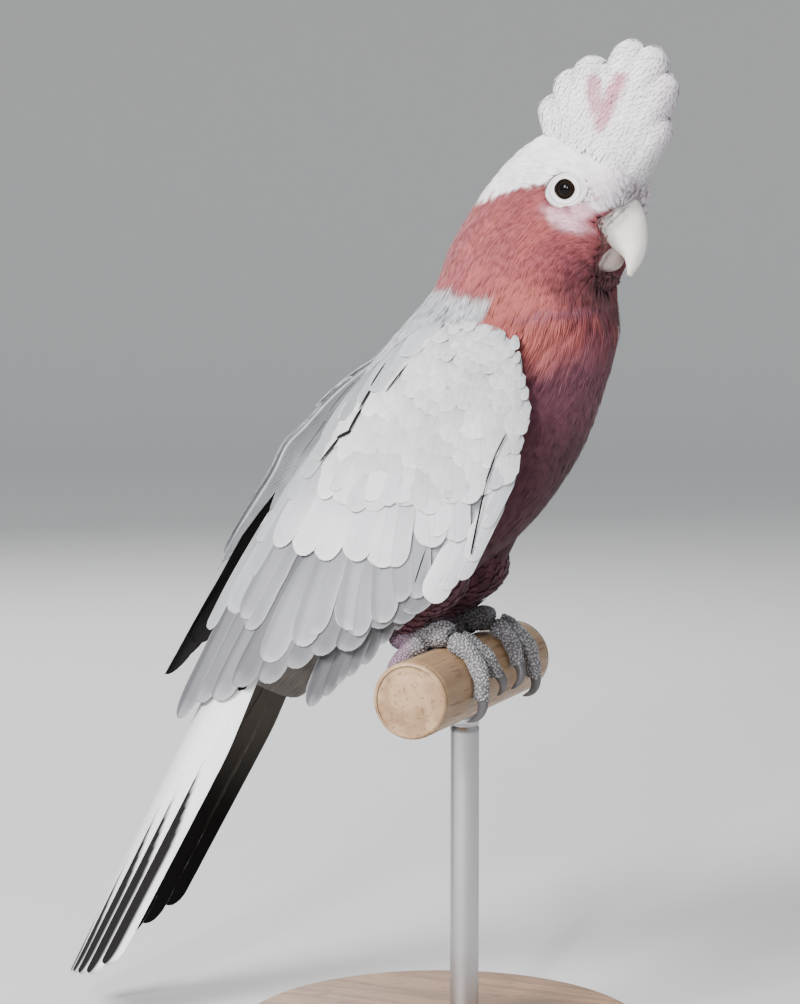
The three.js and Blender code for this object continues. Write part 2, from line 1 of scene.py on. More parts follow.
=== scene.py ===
"""A life-size museum galah on a perch: skin, eyes, bill, feet, plumage and stand.

Sizes are millimetres measured from the top of the perch, as the bird's own parts are, and turn
into the frame's metres where a mesh is made. The bird faces +X and its left side is +Y.
"""
import logging
import math
from dataclasses import dataclass, field, replace
from enum import Enum
from typing import Any, Callable, Optional, Sequence

import bpy
import numpy as np
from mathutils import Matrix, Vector
from mathutils.bvhtree import BVHTree
from mathutils.kdtree import KDTree


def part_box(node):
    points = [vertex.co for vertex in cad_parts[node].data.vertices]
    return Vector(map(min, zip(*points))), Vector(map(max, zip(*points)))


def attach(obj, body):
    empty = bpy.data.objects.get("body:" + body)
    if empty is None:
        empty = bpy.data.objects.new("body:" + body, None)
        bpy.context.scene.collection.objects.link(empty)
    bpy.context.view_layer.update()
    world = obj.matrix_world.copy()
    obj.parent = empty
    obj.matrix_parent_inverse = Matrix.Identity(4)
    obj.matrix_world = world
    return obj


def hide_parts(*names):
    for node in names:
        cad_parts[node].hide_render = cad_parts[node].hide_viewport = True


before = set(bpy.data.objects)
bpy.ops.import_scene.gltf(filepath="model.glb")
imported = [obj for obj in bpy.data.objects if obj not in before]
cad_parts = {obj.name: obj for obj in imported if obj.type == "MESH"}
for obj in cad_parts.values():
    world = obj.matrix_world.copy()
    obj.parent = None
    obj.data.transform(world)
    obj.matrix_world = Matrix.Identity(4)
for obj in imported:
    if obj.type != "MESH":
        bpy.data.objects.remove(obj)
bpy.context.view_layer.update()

LOG = logging.getLogger("galah")
MM = 0.001
PERCH_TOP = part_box("stand_perch")[1].z / MM
TURN = math.radians(-8)
TURN_PIVOT = 20.0
PATCH = 0.003
ROUND = 2 * math.pi
SLANT = math.sqrt(0.75)

Array = np.ndarray
Solid = tuple[Array, Array, Array]
Finish = bpy.types.Material
Random = np.random.Generator
seeded = np.random.default_rng


class Side(Enum):
    """A side of the bird, with the sign of its Y."""

    RIGHT = -1
    LEFT = 1

    @property
    def word(self) -> str:
        """The side's name as the nodes spell it."""
        return self.name.lower()


class Slot(Enum):
    """The record's material slots."""

    ROSE = "rose_plumage"
    WHITE = "white_plumage"
    GREY = "grey_plumage"
    DARK = "dark_plumage"
    FOOT = "foot_skin"
    CLAW = "claw_horn"
    BILL = "bill_horn"
    EYE = "eye"
    PERCH = "perch_wood"
    BASE = "base_wood"
    ROD = "rod_steel"


# ---- numbers


def through(xs: Sequence[float], ys: Any, x: Array) -> Array:
    """Smooth values at x through rising places xs.

    Args:
        xs: The places, in rising order.
        ys: A value or a row of values at each place.
        x: Where to read the curve.

    Returns:
        The values, with a last axis where ys has one.
    """
    xs, ys, x = (np.asarray(v, float) for v in (xs, ys, x))
    last = len(xs) - 1
    after = np.minimum(np.arange(last + 1) + 1, last)
    before = np.maximum(np.arange(last + 1) - 1, 0)
    gaps = (xs[after] - xs[before]).reshape((-1,) + (1,) * (ys.ndim - 1))
    slopes = (ys[after] - ys[before]) / gaps
    i = np.clip(np.searchsorted(xs, x, side="left") - 1, 0, last - 1)
    span = xs[i + 1] - xs[i]
    t = np.clip((x - xs[i]) / span, 0, 1)
    shares = (1 - 3 * t**2 + 2 * t**3, (t - 2 * t**2 + t**3) * span, (t**3 - t**2) * span)
    a, b, c = (share[..., None] if ys.ndim > 1 else share for share in shares)
    return a * ys[i] + b * slopes[i] + (1 - a) * ys[i + 1] + c * slopes[i + 1]


def pairs(table: Sequence[tuple[float, float]], x: Array) -> Array:
    """Smooth values at x through a list of place and value pairs."""
    return through(*zip(*table), x)


def along(rows: Sequence[Any], t: Array) -> Array:
    """Smooth values at place t, from 0 to the last index, in evenly spaced rows."""
    return through(range(len(rows)), rows, t)


def smooth(low: float, high: float, x: Array) -> Array:
    """A smooth step from 0 at low to 1 at high."""
    t = np.clip((np.asarray(x, float) - low) / (high - low), 0, 1)
    return t * t * (3 - 2 * t)


def unit(v: Array) -> Array:
    """Vectors scaled to length 1."""
    return v / np.maximum(np.linalg.norm(v, axis=-1, keepdims=True), 1e-9)


def mixed(a: Any, b: Any, share: Array) -> Array:
    """Colours from a to b by a share for each point."""
    share = np.asarray(share)[..., None]
    return np.asarray(a) * (1 - share) + np.asarray(b) * share


def painted(colour: Any, layers: Sequence[tuple]) -> Array:
    """A colour under layers of other colours, each with its share for each point."""
    for paint, share in layers:
        colour = mixed(colour, paint, share)
    return colour


def circle(count: int) -> Array:
    """Angles spaced evenly round a full turn."""
    return np.linspace(0, ROUND, count, endpoint=False)


def grid(a: Array, b: Array) -> Sequence[Array]:
    """The places a and b of each point of a grid."""
    return np.meshgrid(a, b, indexing="ij")


def beside(*values: Any) -> Array:
    """Values side by side on a new last axis, as coordinates of points."""
    return np.stack(np.broadcast_arrays(*values), -1)


def mid(x: float, z: float) -> Array:
    """A point of the mid plane."""
    return np.array([x, 0.0, z])


def blend(ends: Sequence[Any], share: Array) -> Array:
    """Values from the first end to the second by a share."""
    return ends[0] + (ends[1] - ends[0]) * share


def turned(points: Array, share: Array | float = 1.0) -> Array:
    """Points of the straight head turned towards the bird's right.

    Args:
        points: Points of the head as it looks straight ahead.
        share: How much of the full turn each point takes.

    Returns:
        The turned points.
    """
    angle = TURN * np.asarray(share, float)
    c, s = np.cos(angle), np.sin(angle)
    x, y = points[..., 0] - TURN_PIVOT, points[..., 1]
    return beside(TURN_PIVOT + c * x - s * y, s * x + c * y, points[..., 2])


@dataclass(frozen=True)
class Ripple:
    """Smooth noise without a table: a few waves in seeded directions."""

    size: float
    seed: int
    waves: int = 7

    def at(self, points: Array) -> Array:
        """Values between about -1 and 1 at points in millimetres."""
        rng = seeded(self.seed)
        total = np.zeros(points.shape[:-1])
        for _ in range(self.waves):
            way = unit(rng.normal(size=3)) * 2 * math.pi / (self.size * rng.uniform(0.7, 1.5))
            total += np.sin(points @ way + rng.uniform(0, ROUND))
        return total / math.sqrt(self.waves)


# ---- forms


class Form:
    """A curved surface with two places a and b, on which feathers grow along a."""

    step = (0.01, 0.01)
    outward = 1.0

    def raw(self, a: Array, b: Array) -> Array:
        """Points of the surface."""
        return self.place(a, b, np.zeros(np.broadcast(a, b).shape))

    def unturned(self, a: Array, b: Array) -> Array:
        """Points of the surface with the head straight."""
        return self.raw(a, b)

    def slopes(self, a: Array, b: Array) -> tuple[Array, Array]:
        """How a point moves with a and with b."""
        da, db = self.step
        along_a = (self.raw(a + da, b) - self.raw(a - da, b)) / (2 * da)
        along_b = (self.raw(a, b + db) - self.raw(a, b - db)) / (2 * db)
        return along_a, along_b

    def place(self, a: Array, b: Array, height: Array) -> Array:
        """Points at a height over the surface."""
        out = unit(np.cross(*self.slopes(a, b))) * self.outward
        return self.raw(a, b) + out * np.asarray(height)[..., None]

    def net(self, a: Array, b: Array) -> Solid:
        """The lengths of a unit of a, of a unit of b square to it, and b's lean along a."""
        along_a, along_b = self.slopes(a, b)
        length_a = np.maximum(np.linalg.norm(along_a, axis=-1), 1e-6)
        lean = (along_a * along_b).sum(-1) / length_a**2
        square = along_b - along_a * lean[..., None]
        return length_a, np.maximum(np.linalg.norm(square, axis=-1), 1e-6), lean

    def reached(self, a: Array, b: Array, ahead: Array, aside: Array) -> tuple[Array, Array]:
        """The places that lie some way along a and some way square to it from each place."""
        size_a, size_b, lean = self.net(a, b)
        if np.ndim(ahead) > np.ndim(a):
            a, b, size_a, size_b, lean = (v[:, None] for v in (a, b, size_a, size_b, lean))
        return a + ahead / size_a - lean * aside / size_b, b + aside / size_b


def section(row: Array, b: Array, middle: float) -> Array:
    """Points of the mid plane between the back and front of a section.

    Args:
        row: Back x and z, front x and z, and half width.
        b: The angle of each point from the back.
        middle: Where the section is widest, as a share of the way from back to front.

    Returns:
        The points, before they are spread by the half width.
    """
    back, front = (beside(row[..., i], 0.0, row[..., i + 1]) for i in (0, 2))
    centre = back + (front - back) * middle
    reach = np.cos(b)[..., None]
    return centre + (np.where(reach > 0, back, front) - centre) * np.abs(reach)


@dataclass
class BodyForm(Form):
    """The outline of the whole body: a is the station and b the angle from the back."""

    middle: float = 0.48
    turn_from: float = 6.0
    turn_to: float = 9.0
    straight: bool = False
    stations: tuple = (
        # back x and z, front x and z, half width
        (63, 151.5, 54.5, 125, 8),
        (65, 160, 52, 122, 13),
        (60, 168.5, 51.5, 121, 16.5),
        (48, 174, 52, 120, 18.5),
        (34.6, 174.4, 52, 118, 20),
        (22.8, 169, 52, 116, 20.5),
        (13, 160.4, 52.5, 113.5, 21),
        (4.3, 149.4, 53, 109.5, 22.5),
        (-4, 136, 53, 103, 25),
        (-10, 121, 49, 89, 29),
        (-23, 106, 42.5, 71, 34),
        (-36, 90.5, 33.5, 55, 36),
        (-46, 73, 21, 39.5, 35.5),
        (-54, 53, 6, 27, 32),
        (-61, 34, -12, 13, 27),
        (-69.5, 16.5, -30, 0, 22),
        (-80.5, 3, -47, -12, 18),
        (-90.5, -9.5, -63, -24, 12),
    )
    face_edge: tuple = (
        # z and x of the line where the face's feathers end at the bill
        (118, 62), (123.5, 58.8), (127, 52.8), (131, 53.2), (134.5, 55.2), (138, 55.4), (141, 54),
        (143.5, 54.2), (145.5, 56.8), (147.5, 60.4), (149.5, 64), (151.5, 67.5), (153, 70),
    )
    face_back: float = 0.0
    outward = -1.0

    @property
    def last(self) -> int:
        """The last station."""
        return len(self.stations) - 1

    def unturned(self, a: Array, b: Array) -> Array:
        """Points of the surface with the head straight."""
        row = along(self.stations, a)
        point = section(row, b, self.middle)
        point[..., 1] = row[..., 4] * np.sin(b)
        point[..., 1] *= 1 - 0.88 * smooth(-0.9, 1.5, self.before_bill(point))
        return point

    def before_bill(self, points: Array) -> Array:
        """How far points are in front of the line where the face's feathers end."""
        x, z = points[..., 0], points[..., 2]
        cheek = 0.5 * np.maximum(np.abs(points[..., 1]) - 8, 0)
        ahead = x - pairs(self.face_edge, z) - cheek + self.face_back
        return np.where((z > 118) & (z < 154), ahead, -9.0)

    def raw(self, a: Array, b: Array) -> Array:
        """Points of the surface, with the head turned unless the form is straight."""
        points = self.unturned(a, b)
        return points if self.straight else turned(points, 1 - smooth(self.turn_from, self.turn_to, a))


@dataclass
class WingForm(Form):
    """The outer surface of a folded wing: a runs to the wing tip and b up to the back."""

    side: Side = Side.RIGHT
    origin: tuple = (30, 104)
    widest: float = 1.0
    front_reach: float = 52.0
    left_lift: float = 15.0
    left_swell: tuple = ((44, 0), (60, 1.5), (76, 2.5), (86, 4), (97, 2.4), (122, 1.5), (140, 0))
    left_rim: float = -2.5
    right_rim: float = 0.5
    end: float = 96.0
    step = (0.5, 0.5)
    back_share: tuple = ((-9, 0.6), (10, 0.72), (28, 0.84), (50, 0.92), (72, 0.975), (190, 0.975))
    half_width: tuple = (
        (-12, 28), (0, 33), (20, 40), (50, 42.5), (80, 41), (120, 33), (160, 24), (200, 14),
    )
    front: tuple = (
        (-9, 8), (0, -5), (11, -14.5), (22, -20.5), (40, -25), (66, -26.5), (86, -22), (96, -10),
    )
    back: tuple = (
        (-9, 18), (0, 25), (10, 31), (28, 41), (50, 49), (68, 53), (96, 56), (140, 58), (190, 56),
    )

    def flat(self, x: Array, z: Array) -> tuple[Array, Array]:
        """The places a and b of points of the mid plane, without the left wing's lift."""
        x, z = x - self.origin[0], z - self.origin[1]
        return -0.5 * x - SLANT * z, -SLANT * x + 0.5 * z

    def distance(self, a: Array, b: Array) -> Array:
        """How far the surface stands out from the mid plane."""
        behind = (pairs(self.back, a) - self.widest) / pairs(self.back_share, a)
        share = (b - self.widest) / np.where(b > self.widest, behind, self.front_reach)
        return pairs(self.half_width, a) * np.sqrt(np.maximum(0.04, 1 - share**2))

    def raw(self, a: Array, b: Array) -> Array:
        """Points of the surface."""
        return self.lifted(a, b, np.zeros(np.broadcast(a, b).shape))

    def place(self, a: Array, b: Array, height: Array) -> Array:
        """Points at a height over the surface, kept inside the wing's back edge."""
        rim = self.left_rim if self.side is Side.LEFT else self.right_rim
        return self.lifted(a, np.minimum(b, pairs(self.back, a) + rim), height)

    def lifted(self, a: Array, b: Array, height: Array) -> Array:
        """Points at a height over the surface, leaning only across the wing."""
        a, b, height = np.broadcast_arrays(a, b, height)
        small = self.step[1]
        slope = (self.distance(a, b + small) - self.distance(a, b - small)) / (2 * small)
        length = np.hypot(1, slope)
        out = self.distance(a, b) + height / length
        up = b - height * slope / length
        if self.side is Side.LEFT:
            up = up + self.left_lift + pairs(self.left_swell, a)
        x, z = self.origin[0] - 0.5 * a - SLANT * up, self.origin[1] - SLANT * a + 0.5 * up
        return beside(x, self.side.value * out, z)


@dataclass
class TailForm(Form):
    """The arch of the tail: a is the share of its length and b the way round the arch."""

    root: tuple = (-80.5, 10.5)
    tip: tuple = (-155, -131.5)
    half_width: float = 19.0
    drop: float = 24.0
    radius: float = 20.5
    reach: float = 32.0
    root_crowding: float = 0.93
    tip_crowding: float = 0.83
    step = (0.005, 0.2)
    ends: tuple = (0.86, 0.92, 0.95, 0.965, 0.98, 0.99, 1, 0.985, 0.955, 0.92, 0.88, 0.82, 0.75)

    def place(self, a: Array, b: Array, height: Array) -> Array:
        """Points at a height over the surface, away from the middle of the arch."""
        root, tip = mid(*self.root), mid(*self.tip)
        line = unit(tip - root)
        angle = np.asarray(b) / self.radius
        c, s = np.cos(angle), np.sin(angle)
        lift = -self.drop * (1 - c) + height * c
        point = root + (tip - root) * np.asarray(a)[..., None] + mid(line[2], -line[0]) * lift[..., None]
        point[..., 1] += self.half_width * s + height * s
        return point


@dataclass
class LobeForm(Form):
    """One rounded lobe of the crest: a runs from its root to its tip and b round it."""

    root: tuple
    tip: tuple
    breadth: float
    across: float
    flare: float = 0.12
    outward = -1.0

    @property
    def length(self) -> float:
        """From root to tip."""
        return math.dist(self.root, self.tip)

    @property
    def axes(self) -> Solid:
        """The root, the way to the tip and the way across it in the mid plane."""
        foot = mid(*self.root)
        rise = unit(mid(*self.tip) - foot)
        return foot, rise, mid(-rise[2], rise[0])

    @staticmethod
    def rounding(a: Array) -> tuple[Array, Array]:
        """How much of its size the lobe keeps towards its round end, and of its width towards its tip."""
        close = np.clip((a - 0.72) / 0.28, 0, 1)
        return np.sqrt(np.maximum(0.02, 1 - close**2)), 1 - 0.45 * np.clip(a, 0, 1)

    def unturned(self, a: Array, b: Array) -> Array:
        """Points of the lobe with the head straight."""
        foot, _, lean = self.axes
        a, b = np.broadcast_arrays(np.asarray(a, float), np.asarray(b, float))
        size, taper = self.rounding(a)
        taper = taper * (1 + self.flare * smooth(0.42, 0.0, a))
        point = foot + (mid(*self.tip) - foot) * a[..., None]
        point = point + lean * (self.breadth * size * np.cos(b))[..., None]
        point[..., 1] += self.across * taper * size * np.sin(b)
        return point

    def holds(self, points: Array) -> Array:
        """Which points, with the head straight, lie well inside the lobe."""
        foot, rise, lean = self.axes
        off = points - foot
        a = off @ rise / self.length
        size, taper = self.rounding(a)
        reach = np.hypot(off @ lean / (self.breadth * size), off[..., 1] / (self.across * taper * size))
        return (a > -0.2) & (a < 1) & (reach < 0.80)

    def raw(self, a: Array, b: Array) -> Array:
        """Points of the lobe, with the head's turn."""
        return turned(self.unturned(a, b))


@dataclass
class ThighForm(Form):
    """The outline of a feathered thigh: a runs down its rows and b round it."""

    rows: tuple
    middle: float
    tilt: float = math.radians(-30)
    outward = -1.0

    def raw(self, a: Array, b: Array) -> Array:
        """Points of the surface."""
        row = along(self.rows, a)
        reach = row[..., 2] * np.cos(b)
        x = row[..., 0] + reach * math.cos(self.tilt)
        z = row[..., 1] + reach * math.sin(self.tilt)
        return beside(x, self.middle + row[..., 2] * np.sin(b), z)


# ---- meshes


@dataclass
class Sheaf:
    """Parts of one mesh, gathered until it is made."""

    parts: list = field(default_factory=list)
    count: int = 0

    @classmethod
    def of(cls, *part: Any) -> "Sheaf":
        """A mesh with only one part."""
        sheaf = cls()
        sheaf.add(*part)
        return sheaf

    def add(
        self, points: Array, quads: Any, tris: Any, colours: Any = (0, 0, 0),
        vanes: Optional[Array] = None, bakes: Optional[Array] = None, slot: int = 0,
    ) -> None:
        """Adds a part.

        Args:
            points: Its points in millimetres.
            quads: Its four-sided faces.
            tris: Its three-sided faces.
            colours: A colour for each point, or one for all.
            vanes: Place across and along a feather for each point.
            bakes: Place in the bake's map for each point.
            slot: The number of its material.
        """
        points = points.reshape(-1, 3)
        number = len(points)
        maps = [np.zeros((number, 2)) if v is None else v.reshape(-1, 2) for v in (vanes, bakes)]
        faces = [np.asarray(f, np.int64).reshape(-1, n) + self.count for f, n in ((quads, 4), (tris, 3))]
        slots = [np.full(len(f), slot) for f in faces]
        self.parts.append((points, np.broadcast_to(colours, (number, 3)), *maps, *faces, *slots))
        self.count += number

    def make(self, name: str, materials: Sequence[Finish]) -> bpy.types.Object:
        """Makes the mesh and its object.

        Args:
            name: The piece's name.
            materials: Its materials, by slot number.

        Returns:
            The new object, linked to the scene.
        """
        points, colours, vanes, bakes, quads, tris, *slots = map(np.concatenate, zip(*self.parts))
        corners = np.concatenate([quads.ravel(), tris.ravel()])
        totals = np.repeat([4, 3], [len(quads), len(tris)])
        starts = np.cumsum(totals) - totals
        mesh = bpy.data.meshes.new(name)
        mesh.vertices.add(len(points))
        mesh.vertices.foreach_set("co", ((points + [0, 0, PERCH_TOP]) * MM).astype(np.float32).ravel())
        mesh.loops.add(len(corners))
        mesh.loops.foreach_set("vertex_index", corners.astype(np.int32))
        mesh.polygons.add(len(totals))
        mesh.polygons.foreach_set("loop_start", starts.astype(np.int32))
        mesh.update(calc_edges=True)
        mesh.polygons.foreach_set("use_smooth", np.ones(len(totals), bool))
        mesh.polygons.foreach_set("material_index", np.concatenate(slots).astype(np.int32))
        for title, values in (("OFBake", bakes), ("Vane", vanes)):
            if np.ptp(values):
                layer = mesh.uv_layers.new(name=title)
                layer.uv.foreach_set("vector", values[corners].astype(np.float32).ravel())
        rgba = np.concatenate([colours, np.ones((len(colours), 1))], 1)
        attribute = mesh.color_attributes.new("Plume", "FLOAT_COLOR", "POINT")
        attribute.data.foreach_set("color", np.clip(rgba, 0, 1).astype(np.float32).ravel())
        mesh.validate()
        made = bpy.data.objects.new(name, mesh)
        bpy.context.scene.collection.objects.link(made)
        for material in materials:
            mesh.materials.append(material)
        return made


def finished(
    sheaf: Sheaf, name: str, materials: Sequence[Finish], nodes: Sequence[str]
) -> None:
    """Makes a piece, rides it on the one body and hides the nodes that it stands for.

    Args:
        sheaf: Its parts.
        name: Its name.
        materials: Its materials, by slot number.
        nodes: The nodes that it replaces.
    """
    piece = sheaf.make(name, materials)
    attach(piece, "root")
    if nodes:
        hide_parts(*nodes)
    LOG.info("%s: %d triangles", name, len(piece.data.loops) - 2 * len(piece.data.polygons))


def grid_faces(rows: int, columns: int, closed: bool = False) -> Array:
    """The faces of a grid of points.

    Args:
        rows: How many rows of points.
        columns: How many points in a row.
        closed: Whether a row's last point meets its first.

    Returns:
        Four point numbers for each face.
    """
    r, c = grid(np.arange(rows - 1), np.arange(columns - (not closed)))
    a, b = r * columns + c, r * columns + (c + 1) % columns
    return beside(a, b, b + columns, a + columns).reshape(-1, 4)


def tube_mesh(rings: Array) -> Solid:
    """A closed tube through rings of points.

    Args:
        rings: Points by ring, place round it and axis.

    Returns:
        The points, the four-sided faces and the three-sided faces.
    """
    count, around = rings.shape[:2]
    points = np.concatenate([rings.reshape(-1, 3), rings[:1].mean(1), rings[-1:].mean(1)])
    i = np.arange(around)
    j = (i + 1) % around
    end, first = (count - 1) * around, count * around
    low = beside(j, i, first)
    high = beside(end + i, end + j, first + 1)
    return points, grid_faces(count, around, True), np.concatenate([low, high])


def pad_mesh(outer: Array, inner: Array) -> Solid:
    """A closed pad between two sheets of points."""
    return tube_mesh(np.append(outer, inner[:, ::-1], 1))


def limb(centres: Array, radii: Array, around: int, squash: float = 1.0) -> Array:
    """Rings round a line of centres.

    Args:
        centres: The points of the line.
        radii: The radius at each point.
        around: How many points a ring has.
        squash: How much wider a ring is sideways.

    Returns:
        Points by ring, place round it and axis.
    """
    forward = unit(np.gradient(centres, axis=0))
    side = unit(np.array([0.0, 1.0, 0.0]) - forward * forward[:, 1:2])
    angle = circle(around)[:, None]
    across = side[:, None] * (np.cos(angle) * squash)
    over = np.cross(forward, side)[:, None] * np.sin(angle)
    return centres[:, None] + radii[:, None, None] * (across + over)


def remeshed(parts: Sequence[Solid], voxel: float, passes: int) -> tuple[Array, Array]:
    """Joins closed parts into one smooth skin.

    Args:
        parts: Points, four-sided and three-sided faces of each part.
        voxel: The size of the new faces in millimetres.
        passes: How many times the skin is smoothed.

    Returns:
        The points and the four-sided faces of the skin.
    """
    sheaf = Sheaf()
    for part in parts:
        sheaf.add(*part)
    work = sheaf.make("work", [])
    shell = work.modifiers.new("shell", "REMESH")
    shell.mode, shell.voxel_size = "VOXEL", voxel * MM
    rub = work.modifiers.new("rub", "SMOOTH")
    rub.iterations, rub.factor = passes, 0.5
    mesh = work.evaluated_get(bpy.context.evaluated_depsgraph_get()).to_mesh()
    points = np.zeros(len(mesh.vertices) * 3, np.float32)
    mesh.vertices.foreach_get("co", points)
    faces = np.zeros(len(mesh.loops), np.int32)
    mesh.loops.foreach_get("vertex_index", faces)
    bpy.data.meshes.remove(work.data)
    return points.reshape(-1, 3).astype(float) / MM - [0, 0, PERCH_TOP], faces.reshape(-1, 4)


def tree_of(points: Array) -> KDTree:
    """A tree to find the nearest of some points."""
    tree = KDTree(len(points))
    for number, point in enumerate(points):
        tree.insert(point, number)
    tree.balance()
    return tree


def thinned(points: Array, gaps: Array, rng: Random) -> Array:
    """Picks points that keep their distance.

    Args:
        points: All the candidates.
        gaps: The distance that each one keeps if it is picked.
        rng: The source of the order in which they are tried.

    Returns:
        The numbers of the picked points.
    """
    tree = tree_of(points)
    free = np.ones(len(points), bool)
    picked = []
    for number in rng.permutation(len(points)):
        if free[number]:
            picked.append(number)
            for _, other, _ in tree.find_range(points[number], gaps[number]):
                free[other] = False
    return np.array(picked, int)


# ---- feathers


@dataclass(frozen=True)
class Net:
    """The flat net that all feathers of a kind share.

    Shaft is the share of the stem's length before the tip's curve, and turn the angle round
    that curve. Tines number the separate barbs at a soft tip.
    """

    shaft: Array
    turn: Array
    u: Array
    under: Array
    tine: Array
    quads: Array
    tris: Array

    @classmethod
    def blade(cls, rows: int, tip_rows: int, columns: int, sides: int = 2) -> "Net":
        """A whole vane with a round tip.

        Args:
            rows: Rows of points before the tip's curve.
            tip_rows: Rows round the tip's curve.
            columns: Points across.
            sides: Two, or one if it has no underside.

        Returns:
            The net.
        """
        shaft = np.append(np.linspace(0, 1, rows), np.ones(tip_rows))
        turn = np.append(np.zeros(rows), np.linspace(0, math.radians(86), tip_rows + 1)[1:])
        count = rows + tip_rows
        size = count * columns
        across = np.tile(np.linspace(-1, 1, columns), count * sides)
        rising = (np.tile(np.repeat(v, columns), sides) for v in (shaft, turn))
        quads = grid_faces(count, columns)
        faces = np.concatenate([quads, quads[:, ::-1] + size][:sides])
        under = np.repeat([0.0, 1.0][:sides], size)
        return cls(*rising, across, under, np.full(sides * size, -1), faces, np.zeros((0, 3), int))

    @classmethod
    def tuft(cls, rows: int, tines: int, whole: float = 0.6) -> "Net":
        """A soft vane whose tip parts into barbs.

        Args:
            rows: Rows of points in its whole part.
            tines: How many barbs the tip has.
            whole: The share of its length before the barbs part.

        Returns:
            The net.
        """
        columns, j = tines + 1, np.arange(tines)
        barb_shaft = [(1 + whole) / 2, (1 + whole) / 2, 1.0]
        barb_u = -1 + (2 * j[:, None] + 1) / tines + np.array([-0.62, 0.62, 0.0]) / tines
        shaft = np.append(np.repeat(np.linspace(0, whole, rows), columns), np.tile(barb_shaft, tines))
        u = np.append(np.tile(np.linspace(-1, 1, columns), rows), barb_u)
        tine = np.append(np.full(rows * columns, -1), np.repeat(j, 3))
        base, start = (rows - 1) * columns + j, rows * columns + 3 * j
        joins = beside(base, base + 1, start + 1, start)
        quads = np.concatenate([grid_faces(rows, columns), joins])
        flat = np.zeros(len(u))
        return cls(shaft, flat, u, flat, tine, quads, start[:, None] + np.arange(3))


@dataclass
class Growth:
    """Where feathers of one kind grow, and how big they are, in millimetres."""

    a: Array
    b: Array
    length: Array
    width: Array
    angle: Array
    sunk: float = -1.4
    risen: float = 0.3
    camber: float = 0.5
    tilt: float = 0.0
    thick: float = 0.25
    root: float = 0.35
    layer: Any = 0.0
    ragged: float = 0.0
    droop: float = 0.0
    point: float = 1.15
    frizz: float = 0.25

    @classmethod
    def between(cls, form: Form, roots: Array, tips: Array, width: Array, **more: Any) -> "Growth":
        """Feathers from given roots to given tips.

        Args:
            form: The surface that they lie on.
            roots: The place of each root.
            tips: The place of each tip.
            width: The width of each.
            **more: Other sizes.

        Returns:
            The growth.
        """
        size_a, size_b, lean = form.net(roots[:, 0], roots[:, 1])
        step = tips - roots
        y = step[:, 1] * size_b
        x = (step[:, 0] + lean * step[:, 1]) * size_a
        return cls(roots[:, 0], roots[:, 1], np.hypot(x, y), width, np.arctan2(y, x), **more)


@dataclass
class Plume:
    """Feathers as grown: their points, and the place of each point on its feather."""

    points: Array
    s: Array
    u: Array
    under: Array
    a: Array
    b: Array


def grown(form: Form, net: Net, growth: Growth, rng: Random) -> Plume:
    """Grows feathers on a surface, so that each follows its curve.

    Args:
        form: The surface.
        net: The net that they share.
        growth: Their places and sizes.
        rng: The source of their small differences.

    Returns:
        The grown feathers.
    """
    count, size = len(growth.a), len(net.u)
    sizes = (growth.length, growth.width, growth.angle, growth.sunk, growth.risen, growth.layer)
    length, width, angle, sunk, risen, layer = (np.broadcast_to(v, count)[:, None] for v in sizes)
    half = width / 2
    soft = net.tine >= 0
    loose = rng.uniform(-1, 1, (count, max(net.tine.max() + 1, 1)))
    wild = np.where(soft, loose[:, np.maximum(net.tine, 0)], 0)
    profile = growth.root + (1 - growth.root) * smooth(0, 0.5 if soft.any() else 0.42, net.shaft)
    if soft.any():
        s = net.shaft * (1 - 0.3 * net.u**2 * net.shaft) * (1 + 0.13 * wild * net.shaft)
        profile = profile * (1 + 0.12 * smooth(0.6, 1, net.shaft))
    else:
        share = np.clip(growth.point * half / length, 0.08, 0.5)
        s = (1 - share) * net.shaft + share * np.sin(net.turn)
        profile = profile * np.cos(net.turn) ** 0.85
    u = np.broadcast_to(net.u + 0.05 * wild, (count, size))
    edge = rng.uniform(-1, 1, (count, size)) * growth.ragged * (np.abs(net.u) > 0.95)
    x, y = length * s, half * profile * u * (1 + edge)
    c, d = np.cos(angle), np.sin(angle)
    a, b = form.reached(growth.a, growth.b, x * c - y * d, x * d + y * c)
    rise = np.sin(np.clip(s * (1.4 if growth.droop else 1), 0, 1) * math.pi / 2)
    height = sunk + (risen - sunk) * rise - growth.droop * smooth(0.62, 1.0, s) + layer
    height = height - growth.camber * u**2 * profile - growth.tilt * u
    height = height + growth.frizz * wild * soft * smooth(0.5, 1, net.shaft)
    height = height - growth.thick * net.under * (1 - net.u**2) * np.cos(net.turn)
    s, under = (np.broadcast_to(v, (count, size)) for v in (s, net.under))
    return Plume(form.place(a, b, height), s, u, under, a, b)


def tiled(faces: Array, count: int, size: int) -> Array:
    """One feather's faces repeated for many feathers of the same size."""
    return (faces[None] + (np.arange(count) * size)[:, None, None]).reshape(-1, faces.shape[1])


